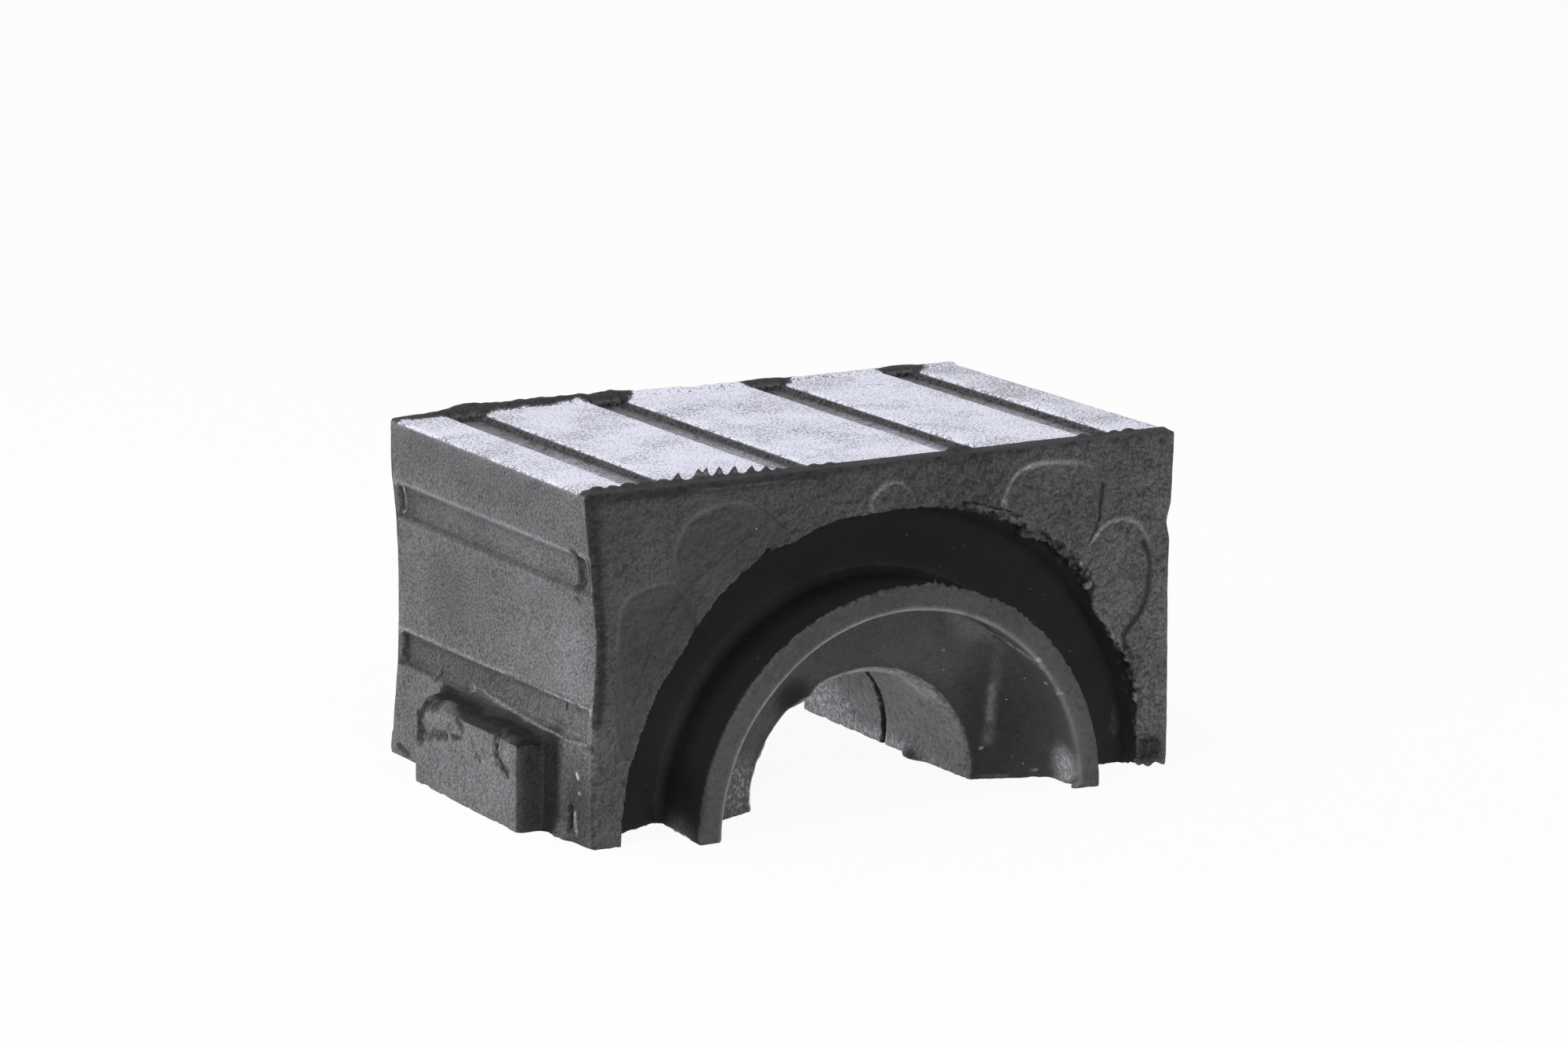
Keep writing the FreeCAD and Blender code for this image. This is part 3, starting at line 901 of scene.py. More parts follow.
    def push(self) -> None:
        """Makes the bulges, nubs and chipped corners."""
        skin = self.skin
        for push in PUSHES:
            near = push.near(skin.place, 0.0)
            close = np.flatnonzero(near > 0.0)
            share = near[close] * rough(skin.place[close], (push.ragged * 1.5, 0.8, 15.0), base=1.0)
            skin.moved[close] += share[:, None] * np.array(push.shift)

    def mark(self) -> None:
        """Cuts or raises the scratches, creases and scuffs."""
        skin = self.skin
        for face, marks in MARKS.items():
            chosen, flat, outwards = skin.drawn(face)
            for mark in marks:
                near = skin.closeness(mark, chosen, flat)
                skin.moved[chosen] += (near * mark.lift)[:, None] * outwards

    def lean_mould_line(self) -> None:
        """Makes the line that the mould left round the seat lean forwards as it rises."""
        skin = self.skin
        near = np.flatnonzero((skin.radius < skin.block.bar_radius + 1.2) & (np.abs(skin.y) < 6.0))
        places = skin.place[near]
        stray = rough(places, self.mould_line_wave, base=self.mould_line_lean * places[:, 2])
        skin.moved[near, 1] += stray * step(np.abs(places[:, 1]), 6.0, 0.6)

    def roughen_lug(self) -> None:
        """Breaks up the top of the left lug, where the mould tore it."""
        skin, block = self.skin, self.skin.block
        level = np.abs(skin.z - block.lug_height) < 0.6
        top = np.flatnonzero((skin.x < -block.half_width + 0.1) & level)
        skin.moved[top, 2] += rough(skin.place[top], self.lug_wave)

    def roughen_feet(self) -> None:
        """Makes the edges round the parting plane uneven."""
        skin = self.skin
        close = np.flatnonzero(skin.z < 0.8)
        sway = rough(skin.place[close], *self.feet_waves)
        skin.moved[close, 2] += step(skin.z[close], 0.8, 0.0) * np.maximum(sway, -0.05)


@dataclass
class Painter:
    """Paints each point of the skin with what its zone and its marks look like.

    Each curve gives a share, a length or grey levels for each place in X, Y or Z, for each radius
    or for each angle round the bar's axis.
    """

    skin: Skinned
    bare_rear: Curve = ((-7.0, 2.0), (-5.0, 0.8), (12.0, 0.4), (22.0, 0.0))
    bare_by_groove: float = 2.9
    groove_bloom_across: Curve = ((-1.0, 1.1), (-0.3, 0.9), (0.7, 0.35))
    groove_bloom_along: Curve = ((0.0, 1.0), (18.0, 0.4))
    groove_tone: Curve = ((-1.0, 1.05), (0.7, 0.85))
    right_bloom: Curve = ((26.0, 1.0), (28.0, 0.68))
    hollow_middle: Curve = ((-12.0, 0.7), (-2.0, 0.65), (2.0, 0.5), (5.0, 0.25), (10.0, 0.3))
    hollow_half: Curve = ((-12.0, 0.5), (-2.0, 0.42), (2.0, 0.4), (5.0, 0.3), (10.0, 0.35))
    lug_light: Curve = ((-12.0, 0.0), (0.0, 10.0), (5.0, 50.0))
    hollow_waves: tuple[Triple, ...] = ((0.4, 3.4, 25.0), (0.08, 1.3, 26.0))
    strip_foot: Curve = ((-32.0, 1.0), (-24.0, 0.85), (-9.0, 0.85), (-6.0, 0.45), (30.0, 0.3))
    strip_share: Curve = ((-32.0, 0.5), (-26.0, 0.8), (-21.0, 0.8), (-8.0, 0.6), (30.0, 0.5))
    front_peel: Curve = ((-32.0, 0.45), (-10.0, 0.65), (6.0, 1.0), (30.0, 1.25))
    front_tone_across: Curve = ((-30.0, 0.96), (-10.0, 0.97), (10.0, 0.99), (32.0, 1.2))
    front_tone_up: Curve = ((0.0, 1.08), (15.0, 1.02), (33.0, 0.94))
    bands: Curve = ((11.1, 0.09), (25.7, 0.0))
    band_half: float = 1.7
    rim_shine: Curve = (
        (0, 0.2), (15, 0.25), (40, 0.5), (70, 0.75), (110, 0.95), (150, 0.9), (180, 0.6))
    edge_tone: Curve = (
        (0, 1.04), (30, 1.04), (60, 0.96), (90, 0.9), (120, 0.93), (150, 0.98), (180, 1.0))
    wall_along: Curve = ((14.8, 2.5), (15.6, 2.2), (17.0, 1.9), (18.5, 1.55), (21.0, 1.0), (23.5, 0.76))
    wall_round: Curve = ((0, 1.0), (60, 0.75), (90, 0.68), (120, 0.95), (150, 1.2), (180, 1.25))
    floor_out: Curve = ((22.4, 1.6), (23.2, 1.4), (24.2, 1.25), (25.5, 1.1), (28.5, 0.96))
    floor_round: Curve = ((0, 1.15), (50, 1.0), (110, 1.0), (150, 1.06), (180, 1.04))
    hollow_grey: float = 27.0
    strip_grey: float = 46.0
    torn_grey: float = 28.0
    shred_grey: float = 96.0
    rim_grey: float = 176.0
    mould_line_grey: float = 26.0
    viewed_from: Triple = (-0.45, -0.85, 0.25)
    grey_shift: float = 0.055
    grey_power: float = 2.4

    def zones(self) -> Array:
        """Tells the zones apart, by the first places and normals of the points.

        Returns:
            The place of each point's zone in the list of zones.
        """
        skin, block = self.skin, self.skin.block
        x, y, z, radius = skin.x, skin.y, skin.z, skin.radius
        across, along = np.abs(x), np.abs(y)
        width, depth, height = block.half_width, block.half_depth, block.height
        outwards = (skin.facing * skin.outward).sum(axis=1)
        endwards = skin.facing[:, 1] * np.sign(y)
        upwards = skin.facing[:, 2]

        flat_top = (z > height - 0.22) & (upwards > 0.5)
        to_groove = np.min([np.abs(x - place - 0.4) for place in block.groove_places], axis=0)
        bare = np.maximum(curve(x, self.bare_rear), self.bare_by_groove * step(to_groove, 4.4, 1.6))
        bare = np.where(y > 0, bare, block.land_end) - 0.05
        near_end = np.flatnonzero(flat_top & (along > depth - 4.5))
        bare[near_end] += rough(skin.place[near_end], (0.45, 1.1, 27.0))

        grooved = (z > height - 1.2) & (z < height - 0.22) & (across < width - 1.0)
        grooved &= along < depth - block.land_end + 0.2
        ring = (radius < block.recess_radius + 0.2) & (along < depth - 0.2)
        ring_wall = ring & (radius > 20.9) & (radius < block.collar_radius + 0.2) & (along < depth - 5.0)
        collar = along > depth - 6.6
        collar_wall = collar & (radius > 20.9) & (radius < block.collar_radius + 0.4) & (outwards > 0.3)
        lug_top = (across > width - 0.1) & (z > block.lug_height - 0.7) & (z < block.lug_height + 0.4)
        web = (radius < block.collar_inside + 0.3) & (radius > block.bar_radius) & (along > 15.0)
        band = (across < width - 0.35) & (across > 28.0) & (z < 28.0)
        tests = (
            (Zone.BAND, band & (np.abs(skin.facing[:, 0]) > 0.5)),
            (Zone.LUG_FLANK, (across > width + 0.05) & (y < 0) & (skin.facing[:, 1] < -0.3)),
            (Zone.LUG_TOP, lug_top & (upwards > 0.15)),
            (Zone.END, (along > depth - 0.45) & (radius > block.recess_radius - 0.2) & (endwards > 0.25)),
            (Zone.LIP, flat_top),
            (Zone.LAND, flat_top & (along <= depth - bare)),
            (Zone.GROOVE_WALL, grooved),
            (Zone.GROOVE, grooved & (z < height - block.groove_depth + 0.2) & (upwards > 0.8)),
            (Zone.RECESS, ring & (radius > block.collar_radius - 1.4)),
            (Zone.COLLAR_WALL, collar_wall | ring_wall),
            (Zone.COLLAR_EDGE, (along > depth + block.collar_reach - 0.45) & (endwards > 0.3)),
            (Zone.COLLAR_INSIDE, collar & (np.abs(radius - block.collar_inside) < 0.5) & (outwards < -0.5)),
            (Zone.WEB, web & (along < depth - 1.7) & (endwards > 0.4)),
            (Zone.SEAT, (radius < block.bar_radius + 0.7) & (along < 15.9) & (outwards < -0.3)),
            (Zone.PARTING, (z < 0.3) & (upwards < -0.6)),
        )
        order = list(Zone)
        found = np.full(len(x), order.index(Zone.SIDE))
        for zone, where in tests:
            found[where] = order.index(zone)
        return found

    def apply(self) -> None:
        """Fills the skin's paint by zone, and then shades it by each kind of mark in turn."""
        found = self.zones()
        for name in Skin.__dataclass_fields__:
            values = np.array([getattr(SKINS[zone], name) for zone in Zone])[found]
            self.skin.paint[name] = self.skin.soften(values, 1)
        for shade in (self.shade_relief, self.shade_stains, self.shade_grooves, self.shade_lug,
                      self.shade_lip, self.shade_bands, self.shade_flow, self.shade_marks,
                      self.shade_torn, self.shade_rings):
            shade()

    def fineness(self) -> Array:
        """Tells how closely the skin has to keep its points.

        Returns:
            A share for each point, higher where its paint or its form changes quickly in view.
        """
        skin, tone = self.skin, self.skin.paint["tone"]
        contrast = np.abs(tone - skin.soften(tone, 3)) / 5.0
        form = np.abs(skin.ridges(3)) / 0.05
        viewed = step(skin.facing @ np.array(self.viewed_from), -0.3, 0.2)
        return np.clip(0.12 + 0.35 * viewed + (contrast + form) * (0.25 + 0.75 * viewed), 0.0, 1.0)

    def finish(self) -> None:
        """Turns the tones from grey levels to the shares of light that they stand for."""
        level = np.clip(self.skin.paint["tone"], 0.0, 255.0) / 255.0
        self.skin.paint["tone"] = ((level + self.grey_shift) / (1.0 + self.grey_shift)) ** self.grey_power

    def shade_relief(self) -> None:
        """Paints a slight highlight on raised edges and deeper shade in creases."""
        height = self.skin.ridges(4) / 0.08
        share = 0.16 * np.clip(height, 0.0, 1.0) - 0.3 * np.clip(-height, 0.0, 1.0)
        self.skin.paint["tone"] *= 1.0 + share * (1.0 - self.skin.paint["bloom"])

    def shade_stains(self) -> None:
        """Lays the soft clouds of lighter, darker and frothy rubber, and the clouds of painted shade."""
        skin, paint = self.skin, self.skin.paint
        paint["froth"] = np.zeros(len(skin.place))
        for stain in STAINS_AND_SHADE:
            near = stain.near(skin.place, 0.2) * step(skin.facing @ np.array(stain.facing), 0.15, 0.5)
            paint["tone"] *= 1.0 + stain.gain * near
            paint["froth"] = np.maximum(paint["froth"], stain.froth * near)

    def shade_grooves(self) -> None:
        """Lets the bloom and painted sheen on each groove's floor fade, and paints shade on the floor,
        towards the groove's right-hand wall.
        """
        skin, block, paint = self.skin, self.skin.block, self.skin.paint
        sunk = (skin.z > block.height - 1.2) & (skin.z < block.height - 0.2)
        along = curve(skin.y, self.groove_bloom_along)
        for place in block.groove_places:
            across = (skin.x - place) / (block.groove_width / 2)
            floor = (np.abs(across) < 1.0) & sunk
            paint["bloom"] *= np.where(floor, curve(across, self.groove_bloom_across) * along, 1.0)
            # painted shade on the floor next to the right-hand wall
            paint["tone"] *= np.where(floor, curve(across, self.groove_tone), 1.0)
        paint["bloom"] *= curve(skin.x, self.right_bloom)

    def shade_lug(self) -> None:
        """Paints the black, ragged band of shade that runs along the rough top of the left lug."""
        skin, block = self.skin, self.skin.block
        level = (skin.z > block.lug_height - 0.7) & (skin.z < block.lug_height + 0.4)
        top = np.flatnonzero((skin.x < -block.half_width + 0.1) & (skin.facing[:, 2] > 0.15) & level)
        y = skin.y[top]
        out = (-skin.x[top] - block.half_width) / block.lug_reach
        out += rough(skin.place[top], *self.hollow_waves)
        half = curve(y, self.hollow_half)
        lug_shade = step(np.abs(out - curve(y, self.hollow_middle)), half * 1.3, half * 0.8)
        skin.paint["tone"][top] += curve(y, self.lug_light)
        # painted shade along the lug's top
        skin.turn(top, self.hollow_grey, lug_shade)

    def shade_lip(self) -> None:
        """Paints shade on the strip under the top edge of the front, deeper at the left, and smooths it."""
        skin, block = self.skin, self.skin.block
        tone, peel = skin.paint["tone"], skin.paint["peel"]
        foot = block.height - curve(skin.x, self.strip_foot)
        front = skin.y < -block.half_depth + 0.4
        strip = step(skin.z, foot - 0.4, foot + 0.3) * front * curve(skin.x, self.strip_share)
        # painted shade under the top edge of the front
        skin.turn(EVERYWHERE, self.strip_grey, strip)
        peel *= 1.0 - 0.8 * strip
        front &= skin.radius > block.recess_radius
        peel *= np.where(front, curve(skin.x, self.front_peel), 1.0)
        lighter = curve(skin.x, self.front_tone_across) * curve(skin.z, self.front_tone_up)
        tone *= np.where(front, lighter, 1.0)

    def shade_bands(self) -> None:
        """Paints a highlight on the upper edge and shade on the lower edge of each band along the sides."""
        skin, block, tone = self.skin, self.skin.block, self.skin.paint["tone"]
        across = np.abs(skin.x)
        side = (across > 30.6) & (across < block.half_width + 0.2)
        side &= (np.abs(skin.y) < block.half_depth) & (np.abs(skin.facing[:, 1]) < 0.8)
        for height, darker in self.bands:
            upper = bell(skin.z, height + self.band_half - 0.1, 0.62) * side
            lower = bell(skin.z, height - self.band_half, 0.42) * side
            # painted highlight on the upper edge, painted shade on the lower edge
            tone += 50.0 * upper - 44.0 * lower
            floor = step(np.abs(skin.z - height), self.band_half + 0.1, self.band_half - 0.2) * side
            tone *= 1.0 - floor * (darker + 0.004 * skin.y)

    def shade_flow(self) -> None:
        """Takes the grain off the smooth patches of the front face and draws their edges with painted
        highlight at the upper left and painted shade at the lower right.
        """
        skin, block, paint = self.skin, self.skin.block, self.skin.paint
        end = (skin.y < -block.half_depth + 0.3) & (skin.radius > block.recess_radius + 0.2)
        front = np.flatnonzero(end)
        flat = skin.place[front][:, [0, 2]]
        for mark in FLOW_MARKS:
            outline, gap, within = mark.measure(flat)
            for name in ("fleck", "pit", "grain", "peel"):
                paint[name][front] *= 1.0 - mark.smooth * within
            paint["tone"][front] *= 1.0 - 0.28 * mark.smooth * within
            # painted highlight on each edge's upper left, painted shade on its lower right
            away = flat - outline.mean(axis=0)
            lit = (away @ np.array([-0.5, 0.85])) / np.maximum(np.linalg.norm(away, axis=1), TINY)
            paint["tone"][front] += 1.7 * mark.rim * lit * step(gap, 0.32, 0.05)
            paint["peel"][front] *= 1.0 - 0.8 * step(gap, 0.5, 0.2)

    def shade_marks(self) -> None:
        """Turns the rubber along each mark to the mark's own grey."""
        for face, marks in MARKS.items():
            chosen, flat, _ = self.skin.drawn(face)
            for mark in marks:
                near = self.skin.closeness(mark, chosen, flat)
                self.skin.turn(chosen, mark.tone, np.clip(near * mark.strength, 0.0, 1.0))

    def shade_torn(self) -> None:
        """Darkens the torn edge of the front arch and leaves light shreds on it and beside it."""
        skin = self.skin
        front = -skin.block.half_depth
        out = skin.radius - skin.block.recess_radius
        close = np.flatnonzero((skin.y < front + 3.0) & (np.abs(out) < 2.6))
        places, y, out, angle = skin.place[close], skin.y[close], out[close], skin.angle[close]
        ragged = step(curve(angle, TORN_EDGE), 0.3, 0.8) * step(angle, 82.0, 68.0)
        crust = rough(places, (1.0, 0.5, 20.0))
        dark = step(out, 0.75, 0.15) * ragged * step(crust, 0.25, -0.1)
        skin.turn(close, self.torn_grey, dark, step(y, front + 1.2, front + 0.6), 0.9)
        shred = step(rough(places, (1.0, 0.55, 19.0)) + 0.5 * crust, 0.1, 0.4)
        fringe = bell(out, 0.7, 0.7) * (y < front + 0.5)
        flap = bell(y, front + 1.0, 0.7) * (np.abs(out) < 0.5)
        shares = shred * ragged * (0.75 * fringe + 0.5 * flap)
        skin.turn(close, self.shred_grey, np.clip(shares, 0.0, 1.0))

    def shade_rings(self) -> None:
        """Paints a highlight on the inner edge of the collar and light and shade on its outer wall and on
        the recess floor round it, and draws the dark line that the mould left.
        """
        skin, block, tone = self.skin, self.skin.block, self.skin.paint["tone"]
        along, radius, angle = np.abs(skin.y), skin.radius, skin.angle
        edge = block.half_depth + block.collar_reach
        # painted highlight along the collar's inner edge
        rim = bell(radius, block.collar_inside + 0.1, 0.45) * bell(along, edge, 0.55)
        skin.turn(EVERYWHERE, self.rim_grey, rim, curve(angle, self.rim_shine))
        on_edge = (along > edge - 0.5) & (radius > block.collar_inside + 0.5)
        fall = 0.72 + 0.28 * step(radius, block.collar_radius + 0.1, block.collar_radius - 0.9)
        tone *= np.where(on_edge, curve(angle, self.edge_tone) * fall, 1.0)
        # painted light lifts the collar's outer wall and the recess floor near its root, where shade falls,
        # and painted light and shade vary them round the bar's axis
        sunk = (along < edge - 0.5) & (along > 14.0)
        wall = sunk & (radius < block.collar_radius + 0.15) & (radius > block.collar_radius - 1.4)
        tone *= np.where(wall, curve(along, self.wall_along) * curve(angle, self.wall_round), 1.0)
        floor = sunk & (radius >= block.collar_radius + 0.15) & (radius < block.recess_radius)
        floor &= along < block.half_depth - 1.5
        tone *= np.where(floor, curve(radius, self.floor_out) * curve(angle, self.floor_round), 1.0)
        seat = radius < block.bar_radius + 1.2
        tone *= np.where(seat & (along > 14.6), 0.92, 1.0)
        line = np.flatnonzero(seat & (along < 1.2))
        stray = rough(skin.place[line], (0.3, 0.6, 30.0), base=along[line])
        skin.turn(line, self.mould_line_grey, step(stray, 0.62, 0.3))


class ShaderSketch:
    """Adds nodes to one tree and joins them."""

    def __init__(self, tree: bpy.types.NodeTree) -> None:
        """Takes the tree and clears it."""
        self.tree = tree
        self.tree.nodes.clear()

    @cached_property
    def places(self) -> Socket:
        """Coordinates on the piece itself."""
        return self.node("ShaderNodeTexCoord").outputs["Object"]

    def node(self, kind: str, inputs: dict[str | int, Source] | None = None,
             **settings: object) -> bpy.types.Node:
        """Adds one node.

        Args:
            kind: Its type.
            inputs: What is joined to its sockets, or set on them.
            **settings: What is set on the node itself.

        Returns:
            The node.
        """
        made = self.tree.nodes.new(kind)
        for setting, value in settings.items():
            setattr(made, setting, value)
        for name, source in (inputs or {}).items():
            if isinstance(source, bpy.types.NodeSocket):
                self.tree.links.new(source, made.inputs[name])
            else:
                made.inputs[name].default_value = source
        return made

    def painted(self, name: str) -> Socket:
        """Value that the painter stored on the mesh under this name."""
        return self.node("ShaderNodeAttribute", attribute_name=name).outputs["Fac"]

    def cloud(self, cell: float, detail: float, sharpness: float = 0.55) -> Socket:
        """Noise with waves of this size in millimetres."""
        return self.node("ShaderNodeTexNoise", {
            "Vector": self.places, "Scale": 1.0 / (cell * MM), "Detail": detail,
            "Roughness": sharpness}).outputs["Fac"]

    def specks(self, cell: float, size: float, rarity: float) -> Socket:
        """Small round specks, one in a few cells of this size in millimetres.

        Args:
            cell: Size of a cell.
            size: Radius of a speck as a share of its cell.
            rarity: Share of the cells that stay bare.

        Returns:
            A socket that is 1 on a speck and 0 elsewhere.
        """
        cells = self.node("ShaderNodeTexVoronoi", {"Vector": self.places, "Scale": 1.0 / (cell * MM)})
        split = self.node("ShaderNodeSeparateColor", {"Color": cells.outputs["Color"]})
        chosen = self.sum("GREATER_THAN", split.outputs[0], rarity)
        near = self.sum("LESS_THAN", cells.outputs["Distance"], self.times(split.outputs[1], size))
        return self.times(chosen, near)

    def sum(self, operation: str, first: Source, second: Source, clamp: bool = False) -> Socket:
        """Result of one arithmetic operation on two values."""
        return self.node(
            "ShaderNodeMath", {0: first, 1: second}, operation=operation, use_clamp=clamp).outputs[0]

    def times(self, first: Source, second: Source, clamp: bool = False) -> Socket:
        """Product of two values."""
        return self.sum("MULTIPLY", first, second, clamp)

    def plus(self, first: Source, second: Source) -> Socket:
        """Sum of two values."""
        return self.sum("ADD", first, second)

    def minus(self, first: Source, second: Source, clamp: bool = False) -> Socket:
        """Difference of two values."""
        return self.sum("SUBTRACT", first, second, clamp)

    def grade(self, value: Socket, span: Pair, result: Pair = (0.0, 1.0)) -> Socket:
        """Value mapped smoothly from one span to another."""
        return self.node("ShaderNodeMapRange", {
            "Value": value, "From Min": span[0], "From Max": span[1],
            "To Min": result[0], "To Max": result[1]}, interpolation_type="SMOOTHSTEP").outputs["Result"]

    def blend(self, share: Socket, first: Source, second: Source) -> Socket:
        """Colour between two colours."""
        inputs = {"Factor": share, 6: first, 7: second}
        return self.node("ShaderNodeMix", inputs, data_type="RGBA").outputs[2]

    def show(self, output: str, share: Socket, unseen: bpy.types.Node, seen: bpy.types.Node) -> None:
        """Ends the tree in a mix of two shaders.

        Args:
            output: Type of the output node.
            share: How much of the second shader shows.
            unseen: The first shader.
            seen: The second shader.
        """
        mix = self.node("ShaderNodeMixShader", {0: share, 1: unseen.outputs[0], 2: seen.outputs[0]})
        self.node(output, {"Surface": mix.outputs[0]})


@dataclass(frozen=True)
class RubberFinish:
    """Aged black rubber: a grey that the paint sets, grain, pits, pale bloom with a painted sheen, and dust.

    A span is the part of a noise that is used. cell is the size of a noise's waves.
    """

    tint: Triple = (0.985, 0.985, 1.035)
    bloom_colour: Colour = (0.70, 0.70, 0.81, 1.0)
    dust_colour: Colour = (0.52, 0.52, 0.55, 1.0)
    grain_cell: float = 0.27
    peel_cell: float = 0.85
    patch_cell: float = 7.0
    blotch_cell: float = 2.6
    froth_cell: float = 0.4
    froth_sharpness: float = 0.65
    noise_span: Pair = (0.3, 0.7)
    patch_span: Pair = (0.35, 0.65)
    pit_span: Pair = (0.5, 0.32)
    froth_span: Pair = (0.47, 0.64)
    bloom_span: Pair = (0.51, 0.64)
    fleck_range: Pair = (-1.0, 1.0)
    drift_range: Pair = (-0.1, 0.1)
    froth_range: Pair = (0.0, 1.2)
    bare_patches: Pair = (-0.04, 0.05)
    bare_blotches: Pair = (-0.02, 0.03)
    bare_thin: float = 0.12
    bloom_cover: Pair = (1.0, 0.1)
    bloom_strength: float = 1.6
    dust_cell: float = 1.1
    dust_size: float = 0.075
    dust_rarity: float = 0.62
    gloss_range: Pair = (0.8, 1.2)
    roughest: float = 0.85
    reflection: float = 0.12
    relief_unit: float = 0.02 * MM

    def material(self) -> bpy.types.Material:
        """Builds the material.

        Returns:
            The rubber, which reads the painted values of the mesh that it is put on.
        """
        made = bpy.data.materials.new("aged_rubber")
        made.use_nodes = True
        sketch = ShaderSketch(made.node_tree)
        grain = sketch.cloud(self.grain_cell, 2.0)
        peel = sketch.cloud(self.peel_cell, 1.0)
        patch = sketch.cloud(self.patch_cell, 3.0)
        gloss = sketch.times(sketch.painted("gloss"), sketch.grade(patch, self.noise_span, self.gloss_range))
        surface = sketch.node("ShaderNodeBsdfPrincipled", {
            "Specular IOR Level": self.reflection,
            "Base Color": self.colour(sketch, grain, peel, patch),
            "Roughness": sketch.minus(self.roughest, gloss, clamp=True),
            "Normal": self.relief(sketch, grain, peel)})
        sketch.node("ShaderNodeOutputMaterial", {"Surface": surface.outputs["BSDF"]})
        return made

    def colour(self, sketch: ShaderSketch, grain: Socket, peel: Socket, patch: Socket) -> Socket:
        """Colour of the rubber with its flecks, pits, bloom with its painted sheen, and dust.

        Args:
            sketch: The material that is being made.
            grain: The fine noise.
            peel: The coarse noise.
            patch: The slow noise.

        Returns:
            The colour's socket.
        """
        fleck = sketch.times(sketch.grade(grain, self.noise_span, self.fleck_range), sketch.painted("fleck"))
        pit = sketch.times(sketch.grade(peel, self.pit_span), sketch.painted("pit"))
        drift = sketch.grade(patch, self.noise_span, self.drift_range)
        flakes = sketch.cloud(self.froth_cell, 3.0, self.froth_sharpness)
        flakes = sketch.grade(flakes, self.froth_span, self.froth_range)
        froth = sketch.times(flakes, sketch.painted("froth"))
        share = sketch.plus(sketch.plus(sketch.minus(sketch.plus(fleck, 1.0), pit), drift), froth)
        level = sketch.times(sketch.painted("tone"), share, clamp=True)
        channels = {at: sketch.times(level, weight) for at, weight in enumerate(self.tint)}
        grey = sketch.node("ShaderNodeCombineColor", channels)
        # pale powder with a painted sheen, mostly on the lands
        coloured = sketch.blend(self.powder(sketch, grain, patch), grey.outputs[0], self.bloom_colour)
        specks = sketch.specks(self.dust_cell, self.dust_size, self.dust_rarity)
        dust = sketch.times(specks, sketch.painted("dust"), clamp=True)
        return sketch.blend(dust, coloured, self.dust_colour)

    def powder(self, sketch: ShaderSketch, grain: Socket, patch: Socket) -> Socket:
        """Share of the surface that pale bloom and its painted sheen cover, broken by fine dark specks.

        Args:
            sketch: The material that is being made.
            grain: The fine noise, whose peaks the bloom and sheen leave bare.
            patch: The slow noise, which says where more of them are bare.

        Returns:
            The share's socket.
        """
        bloom = sketch.painted("bloom")
        blotch = sketch.cloud(self.blotch_cell, 2.0)
        bare = sketch.plus(grain, sketch.grade(patch, self.patch_span, self.bare_patches))
        bare = sketch.plus(bare, sketch.grade(blotch, self.noise_span, self.bare_blotches))
        bare = sketch.plus(bare, sketch.times(sketch.minus(1.0, bloom), self.bare_thin))
        cover = sketch.grade(bare, self.bloom_span, self.bloom_cover)
        return sketch.times(cover, sketch.times(bloom, self.bloom_strength, clamp=True), clamp=True)

    def relief(self, sketch: ShaderSketch, grain: Socket, peel: Socket) -> Socket:
        """Fine relief, in the heights that the paint gives.

        Args:
            sketch: The material that is being made.
            grain: The fine noise.
            peel: The coarse noise.

        Returns:
            The socket of the changed normal.
        """
        fine = sketch.times(sketch.minus(grain, 0.5), sketch.painted("grain"))
        coarse = sketch.times(sketch.minus(peel, 0.5), sketch.painted("peel"))
        height = sketch.times(sketch.plus(fine, coarse), self.relief_unit)
        return sketch.node("ShaderNodeBump", {"Distance": 1.0, "Height": height}).outputs["Normal"]


